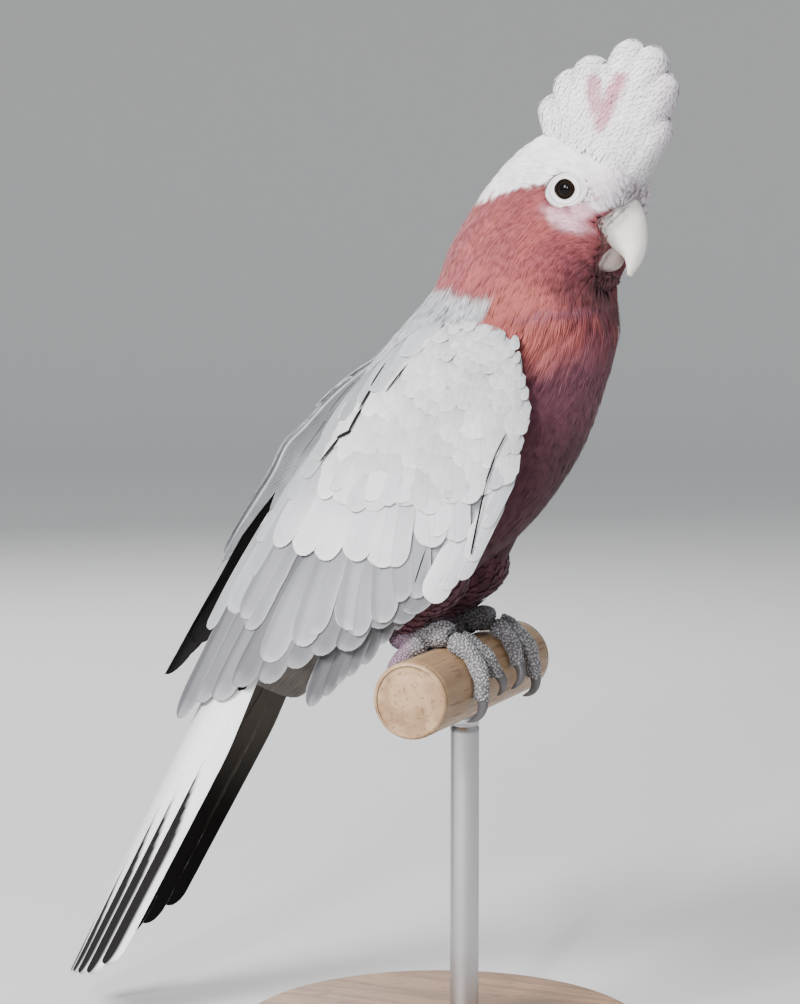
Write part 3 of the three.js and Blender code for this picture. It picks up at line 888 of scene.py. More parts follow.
def spread(
    sheaf: Sheaf, net: Net, plume: Plume, colours: Array, map_root: Optional[Array] = None,
    cells: int = 0, first_cell: int = 0,
) -> None:
    """Adds grown feathers to a mesh.

    Args:
        sheaf: The mesh's parts.
        net: The net that they share.
        plume: The grown feathers.
        colours: A colour for each point.
        map_root: The place of each root on the skin's unwrap, for small feathers.
        cells: How many cells a side the bake's map has, for big feathers.
        first_cell: The first cell that is free.
    """
    count, size = plume.s.shape
    vanes = beside(plume.u / 2 + 0.5, np.clip(plume.s, 0, 1))
    if cells:
        cell = np.arange(count) + first_cell
        corner = beside(cell % cells, cell // cells)[:, None] / cells
        inside = beside(vanes[..., 0] * 0.46 + 0.5 * plume.under + 0.02, vanes[..., 1])
        bakes = corner + (0.03 + 0.94 * inside) / cells
    else:
        bakes = map_root[:, None] + PATCH * (vanes - 0.5)
    faces = (tiled(kind, count, size) for kind in (net.quads, net.tris))
    sheaf.add(plume.points, *faces, colours.reshape(-1, 3), vanes, bakes)


def scattered(
    form: Form, a_range: tuple, b_range: tuple, tries: int, rng: Random,
    gap: Callable[[Array], Any], keep: Optional[Callable[[Array], Array]] = None,
) -> tuple[Array, Array]:
    """Picks feather roots spread evenly over a part of a surface.

    Args:
        form: The surface.
        a_range: The least and greatest a.
        b_range: The least and greatest b.
        tries: How many candidates are drawn.
        rng: The source of the candidates.
        gap: The distance between roots, from their a.
        keep: Where roots may be, from their points with the head straight.

    Returns:
        The a and b of the picked roots.
    """
    a, b = rng.uniform(*a_range, tries), rng.uniform(*b_range, tries)
    size_a, size_b, _ = form.net(a, b)
    area = size_a * size_b
    chance = rng.uniform(0, 1, tries) < area / area.max()
    a, b = a[chance], b[chance]
    if keep:
        wanted = keep(form.unturned(a, b))
        a, b = a[wanted], b[wanted]
    picked = thinned(form.raw(a, b), np.broadcast_to(gap(a), len(a)), rng)
    return a[picked], b[picked]


# ---- finishes


class Value:
    """A node's output. Sums and products on it add Math nodes."""

    def __init__(self, shader: "Shader", socket: Any) -> None:
        """Keeps the socket and the shader that it is in."""
        self.shader = shader
        self.socket = socket

    def _math(self, operation: str, *values: Any) -> "Value":
        """A Math node on some values."""
        return self.shader.node("ShaderNodeMath", {"operation": operation}, dict(enumerate(values)))

    def __add__(self, other: Any) -> "Value":
        """The sum."""
        return self._math("ADD", self, other)

    def __sub__(self, other: Any) -> "Value":
        """The difference."""
        return self._math("SUBTRACT", self, other)

    def __rsub__(self, other: Any) -> "Value":
        """The difference, with this on the right."""
        return self._math("SUBTRACT", other, self)

    def __mul__(self, other: Any) -> "Value":
        """The product."""
        return self._math("MULTIPLY", self, other)

    __radd__, __rmul__ = __add__, __mul__

    def wave(self) -> "Value":
        """The sine, moved to lie between 0 and 1."""
        return self._math("SINE", self) * 0.5 + 0.5

    def size(self) -> "Value":
        """The value without its sign."""
        return self._math("ABSOLUTE", self)

    def rise(self, low: float, high: float) -> "Value":
        """A clamped step from 0 at low to 1 at high."""
        step = {"interpolation_type": "SMOOTHSTEP"}
        return self.shader.node("ShaderNodeMapRange", step, {0: self, 1: low, 2: high})


class Shader:
    """A material being built round one Principled shader."""

    def __init__(self, name: str) -> None:
        """Makes the material with an empty tree."""
        self.material = bpy.data.materials.new(name)
        self.material.use_nodes = True
        self.tree = self.material.node_tree
        self.tree.nodes.clear()

    def node(self, kind: str, settings: Any = None, inputs: Any = None, output: Any = 0) -> Value:
        """Adds a node.

        Args:
            kind: The node's type.
            settings: Its settings, which are set first.
            inputs: Values or links for its sockets.
            output: The output that is returned.

        Returns:
            The output.
        """
        made = self.tree.nodes.new(kind)
        for key, value in (settings or {}).items():
            setattr(made, key, value)
        for key, value in (inputs or {}).items():
            if isinstance(value, Value):
                self.tree.links.new(value.socket, made.inputs[key])
            else:
                made.inputs[key].default_value = value
        return Value(self, made.outputs[output] if len(made.outputs) else None)

    def place(self) -> Value:
        """The place on the object itself."""
        return self.node("ShaderNodeTexCoord", output="Object")

    def tint(self, share: Any, a: Any, b: Any, blend: str = "MIX") -> Value:
        """A colour between a and b."""
        a, b = ((*c, 1.0) if isinstance(c, tuple) else c for c in (a, b))
        settings = {"data_type": "RGBA", "blend_type": blend, "clamp_factor": True}
        return self.node("ShaderNodeMix", settings, {0: share, 6: a, 7: b}, 2)

    def grey(self, light: Value) -> Value:
        """A grey of a lightness."""
        return self.node("ShaderNodeCombineColor", None, {0: light, 1: light, 2: light})

    def noise(self, scale: float, detail: float = 3.0, stretch: Optional[tuple] = None) -> Value:
        """Noise on the object's own place, from 0 to 1."""
        place = self.place()
        if stretch:
            place = self.node("ShaderNodeVectorMath", {"operation": "MULTIPLY"}, {0: place, 1: stretch})
        return self.node("ShaderNodeTexNoise", None, {"Vector": place, "Scale": scale, "Detail": detail})

    def plume(self) -> Value:
        """The colour that the mesh carries."""
        return self.node("ShaderNodeAttribute", {"attribute_name": "Plume"}, None, "Color")

    def lit(self, light: Value) -> Value:
        """The mesh's colour times a lightness."""
        return self.tint(1.0, self.plume(), self.grey(light), "MULTIPLY")

    def vane(self) -> tuple[Value, Value]:
        """How far a point is from its feather's shaft, and how far along the feather."""
        place = self.node("ShaderNodeUVMap", {"uv_map": "Vane"})
        across = self.node("ShaderNodeSeparateXYZ", None, {0: place})
        return (across - 0.5).size(), Value(self, across.socket.node.outputs[1])

    def done(self, bump: Any = None, depth: float = 0.0001, **sockets: Any) -> Finish:
        """Adds the Principled shader and the output.

        Args:
            bump: The height that bends the light.
            depth: The height's reach in metres.
            **sockets: Values or links, named as the sockets are with _ for a space.

        Returns:
            The material.
        """
        inputs = {key.replace("_", " "): value for key, value in sockets.items()}
        if bump is not None:
            shape = {"Strength": 1.0, "Distance": depth, "Height": bump}
            inputs["Normal"] = self.node("ShaderNodeBump", None, shape)
        surface = self.node("ShaderNodeBsdfPrincipled", None, inputs)
        self.node("ShaderNodeOutputMaterial", None, {"Surface": surface})
        return self.material


@dataclass(frozen=True)
class SoftPlumage:
    """Small body feathers: a mottled colour, fine barbs and a soft sheen."""

    name: str = "soft_plumage"
    mottle: float = 0.16
    grain: float = 0.22
    sheen: float = 0.12

    def material(self) -> Finish:
        """Builds the material."""
        shader = Shader(self.name)
        patches = (shader.noise(95.0) - 0.5) * (2 * self.mottle)
        off_shaft, along_vane = shader.vane()
        barbs = (off_shaft * 26.0 + along_vane * 9.0).wave()
        fine = shader.noise(1400.0, 2.0)
        light = 1.0 + patches + (fine - 0.5) * self.grain + (barbs - 0.5) * 0.05
        return shader.done(
            bump=barbs * 0.5 + fine, depth=0.00012,
            Base_Color=shader.lit(light), Roughness=0.82,
            Sheen_Weight=self.sheen, Sheen_Roughness=0.5, Specular_IOR_Level=0.22,
        )


@dataclass(frozen=True)
class FirmPlumage:
    """Long feathers: slanting barbs, a raised shaft and worn, cloudy colour."""

    name: str = "firm_plumage"
    barb_count: float = 420.0
    slant: float = 130.0

    def material(self) -> Finish:
        """Builds the material."""
        shader = Shader(self.name)
        off_shaft, along_vane = shader.vane()
        wander = shader.noise(160.0) * 9.0
        barbs = (along_vane * self.barb_count - off_shaft * self.slant + wander).wave()
        shaft = 1.0 - off_shaft.rise(0.008, 0.028)
        cloud, fine = shader.noise(70.0) - 0.5, shader.noise(900.0, 2.0) - 0.5
        light = 1.0 + cloud * 0.14 + fine * 0.08 + (barbs - 0.5) * 0.07 - shaft * 0.06
        return shader.done(
            bump=barbs * 0.35 + shaft * 0.6 + fine * 0.4, depth=0.00015,
            Base_Color=shader.lit(light), Roughness=0.7 + cloud * 0.2, Specular_IOR_Level=0.08,
        )


@dataclass(frozen=True)
class BareSkin:
    """Skin without feathers: the mesh's colour, fine folds and pores."""

    name: str
    pores: float
    depth: float
    roughness: float = 0.6

    def material(self) -> Finish:
        """Builds the material."""
        shader = Shader(self.name)
        where = {"Vector": shader.place(), "Scale": self.pores}
        cells = shader.node("ShaderNodeTexVoronoi", {"feature": "DISTANCE_TO_EDGE"}, where)
        groove = cells.rise(0.0, 0.16)
        cloud = shader.noise(220.0) - 0.5
        return shader.done(
            bump=groove + cloud * 0.5, depth=self.depth,
            Base_Color=shader.lit(0.84 + groove * 0.16 + cloud * 0.24),
            Roughness=self.roughness + cloud * 0.2, Specular_IOR_Level=0.4,
        )


@dataclass(frozen=True)
class Horn:
    """Bill or claw horn: growth lines, streaks along it and a dull polish."""

    name: str
    pale: tuple
    deep: tuple
    roughness: float
    lines: float = 1300.0

    def material(self) -> Finish:
        """Builds the material."""
        shader = Shader(self.name)
        streaks = shader.noise(420.0, 4.0, (1.0, 1.0, 0.25))
        flakes = shader.noise(self.lines)
        share = streaks.rise(0.35, 0.75) * 0.55 + flakes.rise(0.55, 0.8) * 0.25
        worn = shader.tint(share, self.pale, self.deep)
        return shader.done(
            bump=streaks * 0.7 + flakes * 0.3, depth=0.00012,
            Base_Color=shader.tint(1.0, worn, shader.plume(), "MULTIPLY"),
            Roughness=self.roughness + (flakes - 0.5) * 0.25, Specular_IOR_Level=0.45,
            Subsurface_Weight=0.08, Subsurface_Radius=(0.0012, 0.0009, 0.0007),
        )


@dataclass(frozen=True)
class EyeGloss:
    """The eyeball: the mesh's iris and pupil under a wet cornea."""

    name: str = "eye_gloss"

    def material(self) -> Finish:
        """Builds the material."""
        shader = Shader(self.name)
        flecks = shader.noise(2600.0).rise(0.4, 0.9) * 0.35
        return shader.done(
            Base_Color=shader.tint(flecks, shader.plume(), (0.014, 0.008, 0.005)), Roughness=0.10,
            Coat_Weight=0.08, Coat_Roughness=0.03, Specular_IOR_Level=0.06,
        )


@dataclass(frozen=True)
class Wood:
    """Turned wood with grain along one axis, pores and an oiled surface."""

    name: str
    pale: tuple
    deep: tuple
    stretch: tuple
    roughness: float = 0.48

    def material(self) -> Finish:
        """Builds the material."""
        shader = Shader(self.name)
        bands = shader.noise(38.0, 5.0, self.stretch)
        rings = (bands * 46.0).wave()
        pores = shader.noise(900.0, 2.0, self.stretch).rise(0.56, 0.7)
        colour = shader.tint(rings * 0.6 + bands.rise(0.3, 0.8) * 0.3, self.pale, self.deep)
        return shader.done(
            bump=rings * 0.3 - pores, depth=0.00012,
            Base_Color=shader.tint(pores * 0.45, colour, tuple(0.45 * c for c in self.deep)),
            Roughness=self.roughness + pores * 0.2, Coat_Weight=0.15,
        )


@dataclass(frozen=True)
class BrushedSteel:
    """Steel brushed round the rod, with faint smears."""

    name: str = "rod_steel_finish"

    def material(self) -> Finish:
        """Builds the material."""
        shader = Shader(self.name)
        brush, smear = shader.noise(220.0, 4.0, (1.0, 1.0, 30.0)), shader.noise(45.0)
        return shader.done(
            bump=brush, depth=0.00003,
            Base_Color=shader.tint(smear, (0.50, 0.50, 0.51), (0.62, 0.62, 0.64)),
            Metallic=1.0, Roughness=0.26 + brush * 0.16 + smear * 0.08,
        )


@dataclass(frozen=True)
class Studio:
    """Plain matt paper for the floor."""

    name: str = "studio_paper"
    shade: float = 0.52

    def material(self) -> Finish:
        """Builds the material."""
        shader = Shader(self.name)
        light = self.shade + (shader.noise(60.0) - 0.5) * 0.02
        return shader.done(Base_Color=shader.grey(light), Roughness=0.95)


# ---- markings


@dataclass(frozen=True)
class Markings:
    """The bird's colours as a function of a point of the bird with its head straight."""

    white: tuple = (0.92, 0.89, 0.92)
    # lilac for the white crown and crest: a faint tint of their own, deepened into painted shade where they
    # turn from the lamp
    lavender_shade: tuple = (0.68, 0.60, 0.67)
    rose: tuple = (0.225, 0.052, 0.062)
    nape: tuple = (0.275, 0.071, 0.081)
    orange: tuple = (0.335, 0.086, 0.074)
    plum: tuple = (0.165, 0.057, 0.082)
    wine: tuple = (0.084, 0.028, 0.040)
    maroon: tuple = (0.055, 0.014, 0.022)
    blush: tuple = (0.68, 0.42, 0.49)
    notch: tuple = (0.50, 0.175, 0.235)
    grey: tuple = (0.37, 0.38, 0.40)
    pale: tuple = (0.48, 0.49, 0.52)
    ash: tuple = (0.15, 0.14, 0.13)
    wing: tuple = (0.59, 0.60, 0.64)
    slate: tuple = (0.15, 0.15, 0.165)
    black: tuple = (0.012, 0.011, 0.011)
    umber: tuple = (0.125, 0.112, 0.10)
    cap_line: tuple = (
        (-20, 152), (0, 151), (9.7, 150.4), (17.6, 151.8), (22.3, 153.6), (33.4, 155.4),
        (44, 156), (51, 150.5), (56, 147.5), (66, 146.5),
    )

    def body(self, points: Array, station: Array) -> Array:
        """The colours of the head, neck and trunk.

        Args:
            points: Points of the body with the head straight.
            station: The station of each point.

        Returns:
            A colour for each point.
        """
        x, z = points[..., 0], points[..., 2]
        ripple, fine = Ripple(9.0, 3).at(points), Ripple(3.5, 5).at(points)
        # the lower breast and belly darken to plum: partly their own deeper rose, partly painted shade below
        # the breast
        low = smooth(108, 88, z + 4 * ripple + 0.25 * (30 - x))
        shoulder = smooth(22, 8, np.hypot(x - 30, z - 110) + 2 * ripple)
        # the throat's maroon: partly its own deeper colour, partly painted shade under the bill
        throat_dark_and_shade = smooth(12, 2.5, np.hypot((x - 50) * 0.9, (z - 121) * 0.75) + 2 * fine)
        under = z - self.fold_line(x)
        # painted shade in the crease under the fold between the neck's feathers and the breast's
        crease_shade = smooth(-3.4, -0.6, under) * smooth(1.0, -0.4, under) * smooth(24, 32, x)
        corner = smooth(0.9, 0.3, self.strip(x, z, (38.0, 156.2), (34.0, 156.3)))
        nose = smooth(1.3, 0.2, np.hypot((x - 46) / 8.0, (z - 144.6 + 0.35 * (x - 46)) / 3.9) + 0.1 * fine)
        below_eye = smooth(1.3, 0.5, np.hypot((x - 51.8) / 4.6, (z - 147.4) / 2.6) + 0.15 * fine)
        cap = smooth(-0.9, 0.9, z - pairs(self.cap_line, x) + 0.8 * fine)
        # painted shade on the white cap: faint lilac all over, deeper towards the forehead
        shade = np.clip(0.25 + 0.5 * smooth(48, 62, x) * smooth(170, 152, z) + 0.12 * ripple, 0, 1)
        lore = smooth(4.5, 1.0, np.hypot(x - 64, z - 153))
        grains = smooth(-0.1, 0.5, Ripple(1.6, 7).at(points))
        specks = smooth(5, 1.5, np.hypot(x - 55.0, z - 152.0)) * grains
        up = (x - 30) * -SLANT + (z - 104) * 0.5
        cloak = np.minimum(120.3 - 2.6 * smooth(0, 12, x) - z, up - 15.3) + 0.35 * fine + 0.35 * ripple
        mantle = smooth(-0.9, 1.3, fine) * 0.5 + smooth(45, 20, z) * 0.5
        # painted shade: the vent and under-tail coverts under the tail are painted dark umber and ash for
        # the shade there
        vent_shade = smooth(13.4, 14.4, station + 0.15 * ripple) * smooth(31, 25, up + ripple)
        return painted(mixed(self.nape, self.rose, smooth(8, 40, x)), (
            (self.orange, smooth(-0.3, 1.2, ripple) * 0.5),
            # plum, then wine lower down: partly the belly's own colour, partly painted shade
            (self.plum, low),
            (self.wine, smooth(84, 62, z + 3 * ripple)),
            (self.orange, shoulder * 0.8),
            (self.maroon, throat_dark_and_shade * 0.75),
            (self.plum, crease_shade * 0.8),
            (self.maroon, smooth(0.75, 1.5, fine) * low * 0.6),
            (self.maroon, corner * 0.8),
            (self.blush, nose * 0.95),
            (self.blush, below_eye * 0.8),
            (mixed(self.white, self.lavender_shade, shade), cap),
            (self.plum, lore * smooth(-0.2, 0.6, fine) * 0.5),
            (self.nape, specks * 0.6),
            (mixed(self.grey, self.pale, mantle), smooth(-0.9, 0.9, cloak)),
            (mixed(self.umber, self.ash, 0.5 + 0.4 * fine), vent_shade),
        ))

    @staticmethod
    def fold_line(x: Array) -> Array:
        """The height of the fold between the neck's feathers and the breast's."""
        return 112.5 + 0.12 * (x - 30)

    def fold(self, points: Array) -> Array:
        """How much feathers rooted at points stand over the fold below them."""
        over = points[..., 2] - self.fold_line(points[..., 0])
        return smooth(1, 4, over) * smooth(12, 6, over) * smooth(20, 30, points[..., 0])

    def crest(self, points: Array) -> Array:
        """The colours of the crest at points with the head straight."""
        x, z = points[..., 0], points[..., 2]
        fine = Ripple(4.0, 11).at(points)
        # painted shade on the crest: faint lilac all over, deeper towards its front
        shade = np.clip(0.10 + 0.40 * smooth(64, 76, x) + 0.05 * fine, 0, 1)
        left, right = (
            smooth(4.4, 1.3, self.strip(x, z, *ends) + 0.6 * fine)
            for ends in (((52.8, 180.5), (50.2, 189.0)), ((54.4, 176.0), (60.2, 190.0)))
        )
        notch = np.maximum(left * 0.9, right) * 0.82
        return painted(self.white, ((self.lavender_shade, shade), (self.notch, notch)))

    @staticmethod
    def strip(x: Array, z: Array, low: tuple, high: tuple) -> Array:
        """How far points are from a line between two points of the mid plane."""
        line = np.subtract(high, low)
        share = ((x - low[0]) * line[0] + (z - low[1]) * line[1]) / (line @ line)
        share = np.clip(share, 0, 1)
        return np.hypot(x - low[0] - share * line[0], z - low[1] - share * line[1])


# ---- body


@dataclass
class Leg:
    """One leg: a feathered thigh, a scaly shank and four toes with claws on the perch."""

    side: Side
    spread: float = 20.0
    perch_radius: float = 13.0
    clearance: float = 0.45
    squash: float = 1.2
    thigh: tuple = ((4, 42, 12), (-4, 28, 12.5), (-11, 15, 9), (-16.5, 6.5, 5))
    thigh_top: tuple = (-1, 44, 5)
    thigh_gap: float = 2.1
    thigh_sunk: float = 1.6
    thigh_tries: int = 6000
    shank: tuple = (
        (-16.5, 6, 3.4), (-15.5, 3, 4.2), (-10, 3, 3.5), (-5, 4.2, 3.9), (-0.5, 5, 4.3),
        (2.5, 4.6, 3.6),
    )
    toes: tuple = (
        # from and to in degrees, sideways start and end, radius at each end, claw length
        (-30, -74, -3.8, -8, 3, 2.3, 8),
        (24, 78, -3.8, -9.5, 3, 2.3, 8.5),
        (24, 100, 3.8, 6.5, 3.2, 2.4, 9.5),
        (-30, -98, 3.8, 8.5, 3.1, 2.4, 9),
    )
    around: int = 20
    toe_shares: int = 22
    knuckles: float = 0.07
    claw_around: int = 16
    claw_radius: float = 1.9
    skin: tuple = (0.15, 0.14, 0.15)
    scale_top: tuple = (0.38, 0.37, 0.385)
    joint: tuple = (0.27, 0.18, 0.25)
    scale_gap: float = 0.92
    scale_radius: float = 0.56
    scale_rise: float = 0.34
    scale_around: int = 7
    # reach and rise of each ring of a scale's dome
    scale_rings: tuple = ((1, -0.25), (0.72, 0.72))

    @property
    def middle(self) -> float:
        """The leg's place to the side."""
        return self.side.value * self.spread

    def over_perch(self, degrees: Array, height: Array, y: Array) -> Array:
        """Points over the perch's round surface."""
        angle, reach = np.radians(degrees), self.perch_radius + height
        return beside(reach * np.sin(angle), y, reach * np.cos(angle) - self.perch_radius)

    def row_tube(self, rows: Sequence[tuple], squash: float, count: int) -> Solid:
        """A limb beside the body through rows of x, z and radius."""
        row = along(rows, np.linspace(0, len(rows) - 1, count))
        centres = beside(row[:, 0], self.middle, row[:, 1])
        return tube_mesh(limb(centres, row[:, 2], self.around, squash))

    def thigh_part(self) -> Solid:
        """The thigh, a little under its feathers."""
        return self.row_tube([(x, z, r - self.thigh_sunk) for x, z, r in self.thigh], 1.0, 16)

    def thigh_feathers(self, soft: Finish, markings: "Markings") -> None:
        """Makes the feathers of the thigh, which hang down to the shank.

        Args:
            soft: Their material.
            markings: The bird's colours.
        """
        rng = seeded(30 + self.side.value)
        form = ThighForm((self.thigh_top, *self.thigh[1:]), self.middle)
        a, b = scattered(form, (0, 2.75), (0, ROUND), self.thigh_tries, rng, lambda a: self.thigh_gap)
        growth = Growth(
            a, b, length=(13.5 - 2.6 * a) * rng.uniform(0.85, 1.15, len(a)),
            width=rng.uniform(4.0, 5.6, len(a)), angle=rng.normal(0, 0.1, len(a)),
            sunk=-1.3, risen=rng.uniform(-0.1, 0.3, len(a)), camber=0.3,
        )
        net = Net.tuft(rows=4, tines=6)
        plume = grown(form, net, growth, rng)
        tone = 1 + rng.normal(0, 0.06, (len(a), 1, 1))
        tone = tone * (0.8 + 0.25 * smooth(0.1, 0.9, plume.s))[..., None]
        blotch = smooth(-0.8, 1.0, Ripple(7.0, 23).at(plume.points))
        colours = mixed(markings.plum, markings.wine, 0.25 + 0.75 * blotch) * tone
        sheaf = Sheaf()
        place = beside(b / ROUND, a / 3) * 0.98 + 0.01
        spread(sheaf, net, plume, colours, place)
        word = self.side.word
        finished(sheaf, f"thigh_feathers_{word}", [soft], [f"thigh_{word}"])

    def foot_parts(self) -> list[Solid]:
        """The shank and the toes before they are joined."""
        parts = [self.row_tube(self.shank, self.squash, 24)]
        s = np.linspace(-0.12, 1, self.toe_shares)
        for start, end, out_from, out_to, thick, thin, _ in self.toes:
            radius = blend((thick, thin), s)
            y = self.side.value * (self.spread + out_from + (out_to - out_from) * s)
            centres = self.over_perch(blend((start, end), s), radius + self.clearance, y)
            radii = radius * (1 + self.knuckles * np.cos(s * 4 * math.pi) - 0.02)
            parts.append(tube_mesh(limb(centres, radii, self.around)))
        return parts

    def claws(self, horn: Finish) -> None:
        """Makes one smooth hooked claw for each toe."""
        s = np.linspace(0, 1, 15)
        radii = self.claw_radius * (1 - s**1.35) ** 0.75 + 0.12
        tint = np.append(np.repeat(0.75 + 0.5 * s, self.claw_around), [0.8, 1.2])
        for number, (start, end, out_from, out_to, _, thin, length) in enumerate(self.toes, 1):
            way = math.copysign(1, end)
            sweep = way * math.degrees(length / (self.perch_radius + thin))
            drift = (out_to - out_from) / abs(end - start)
            y = self.side.value * (self.spread + out_to + drift * abs(sweep) * s)
            height = thin + self.clearance + 0.55 + (1.6 * np.sin(math.pi * s) - 1.2 * s)
            centres = self.over_perch(end - way * 3 + sweep * s, height, y)
            solid = tube_mesh(limb(centres, radii, self.claw_around, 0.8))
            title = f"{self.side.word}_{number}"
            sheaf = Sheaf.of(*solid, np.clip(tint, 0, 1)[:, None])
            finished(sheaf, f"claw_horn_{title}", [horn], [f"claw_{title}"])

    def scales(self, points: Array, faces: Array, skin: Finish) -> None:
        """Makes the small domed scales of the foot.

        Args:
            points: The foot's skin.
            faces: Its faces.
            skin: The scales' material.
        """
        rng = seeded(40 + self.side.value)
        corners = points[faces]
        at = corners.mean(1)
        out = unit(np.cross(corners[:, 2] - corners[:, 0], corners[:, 3] - corners[:, 1]))
        free = ~((at[:, 2] > 6.5) & (at[:, 0] < -13))
        at, out = at[free], out[free]
        picked = thinned(at, np.full(len(at), self.scale_gap), rng)
        at, out = at[picked], out[picked]
        side = unit(np.cross(out, [0.31, 0.9, 0.2]))
        size = rng.uniform(0.8, 1.2, len(at)) * self.scale_radius
        count, around = len(at), self.scale_around
        angle = circle(around)[:, None]
        flat = side[:, None] * np.cos(angle) + np.cross(out, side)[:, None] * np.sin(angle)
        at, out = at[:, None], out[:, None]
        dome = [
            at + flat * (size * reach)[:, None, None] + (rise * self.scale_rise) * out
            for reach, rise in self.scale_rings
        ]
        shell = np.concatenate([*dome, at + out * self.scale_rise], 1)
        i, each = np.arange(around), 2 * around + 1
        cap = beside(around + i, around + (i + 1) % around, 2 * around)
        tone = rng.uniform(0.78, 1.15, (count, 1, 1)) * np.array(self.scale_top)
        tone = mixed(tone, self.joint, smooth(-6, -14, at[..., 0]))
        tone = tone * np.repeat([0.5, 1.0], [around, around + 1])[:, None]
        uv = at[..., :2] / 60 + 0.5 + PATCH * (shell - at)[..., :2]
        nets = (tiled(kind, count, each) for kind in (grid_faces(2, around, True), cap))
        sheaf = Sheaf.of(shell, *nets, tone.reshape(-1, 3), uv, uv)
        finished(sheaf, f"foot_scales_{self.side.word}", [skin], [])


@dataclass
class EyeSocket:
    """An eyeball with its cornea, and the bare ring of skin with the lids round it."""

    side: Side
    centre: tuple = (45.5, 13.3, 154.6)
    radius: float = 5.5
    opening: float = 3.35
    iris: float = 3.5
    pupil: float = 1.9
    ring: tuple = (45.85, 154.3, 7.1, 6)
    ring_skin: tuple = (0.95, 0.90, 0.90)
    lid_edge: tuple = (0.07, 0.06, 0.06)
    ball_net: tuple = (40, 40)
    lid_net: tuple = (34, 96)
    lid_rise: float = 0.42
    swell: float = 0.25
    fold_depth: float = 0.05

    def eyeball(self, gloss: Finish) -> None:
        """Makes the eyeball, with a bulge over the iris."""
        rows, around = self.ball_net
        polar = np.linspace(0.0, math.pi, rows) ** 1.25 / math.pi**0.25
        turn, wide = circle(around), self.radius * np.sin(polar)
        out = (self.radius * np.cos(polar) + 0.45 * smooth(0.72, 0.0, polar))[:, None]
        x, z = (self.centre[i] + wide[:, None] * way(turn) for i, way in ((0, np.cos), (2, np.sin)))
        points = turned(beside(x, self.side.value * (self.centre[1] + out), z))
        far = np.repeat(wide, around)
        colour = painted((0.010, 0.006, 0.004), (
            ((0.003, 0.003, 0.003), smooth(self.pupil + 0.2, self.pupil, far)),
            ((0.006, 0.005, 0.005), smooth(self.iris - 0.3, self.iris + 0.2, far)),
        ))
        sheaf = Sheaf.of(points, self.outside(rows, around, Side.LEFT), [], colour)
        finished(sheaf, f"eyeball_{self.side.word}", [gloss], [f"eye_{self.side.word}"])

    def outside(self, rows: int, around: int, flipped: Side) -> Array:
        """The faces of a closed net, turned over on one side so that they look outwards."""
        quads = grid_faces(rows, around, True)
        return quads[:, ::-1] if self.side is flipped else quads

    def lids(self, head: BVHTree) -> tuple[Array, Array, list, Array]:
        """The ring of bare skin, with its lids resting on the eye.

        Args:
            head: The straight head's surface, to rest the ring's outer edge on.

        Returns:
            The points, the four-sided faces, no others, and the colours.
        """
        rows, around = self.lid_net
        share, turn = np.linspace(0, 1, rows), circle(around)
        down = share[:, None]
        mid_x, mid_z, wide, high = self.ring
        cos, sin = np.cos(turn), np.sin(turn)
        inner_x = self.centre[0] + self.opening * (1 + 0.10 * np.abs(cos) ** 6) * cos
        inner_z = self.centre[2] + self.opening * 0.97 * sin
        outer_x, outer_z = mid_x + wide * cos, mid_z + high * sin
        outwards = smooth(0, 1, down) * 0.35 + down * 0.65
        x, z = blend((inner_x, outer_x), outwards), blend((inner_z, outer_z), outwards)
        rest = np.full(around, self.centre[1])
        for i in range(around):
            hit = head.ray_cast(Vector((outer_x[i], 60.0, outer_z[i])), Vector((0, -1, 0)))[0]
            rest[i] = hit[1] if hit else rest[i]
        ball = self.centre[1] + math.sqrt(self.radius**2 - self.opening**2)
        y = (ball + 0.45) + (rest - 0.1 - ball - 0.45) * smooth(0.15, 1, down)
        lid = np.sin(np.clip(down / 0.16, 0, 1) * math.pi)
        y = y + self.lid_rise * lid + self.swell * np.sin(down * math.pi)
        y[0] = ball - 0.5
        folds = np.sin(down * 21 + 0.7 * np.sin(3 * turn) + 0.5 * np.sin(7 * turn + 1))
        beads = np.sin(turn * 30) * np.sin(down * 40)
        y = y + self.fold_depth * folds * smooth(0.2, 0.45, down)
        y = y + self.fold_depth * beads * smooth(0.3, 0.6, down)
        corner = smooth(0.3, -0.6, cos) * smooth(-0.6, 0.2, sin)
        shadow = np.maximum(corner, 0.45 * smooth(0.1, -0.7, sin))
        # painted shade: a blue-grey band round the middle of the ring, stronger on its lower half
        groove = np.exp(-(((down - 0.56) / 0.09) ** 2)) * (0.35 + 0.3 * (sin < 0))
        colour = painted(self.ring_skin, (
            # painted shade in the troughs of the ring's folds
            ((0.42, 0.36, 0.38), 0.10 * (1 - (folds + 1) / 2) * 3),
            ((0.42, 0.41, 0.45), groove),
            (self.lid_edge, smooth(0.13, 0.04, down)),
            ((0.12, 0.09, 0.10), smooth(0.70, 0.84, down) * shadow),
        ))
        points = turned(beside(x, self.side.value * y, z))
        return points, self.outside(rows, around, Side.RIGHT), [], colour.reshape(-1, 3)


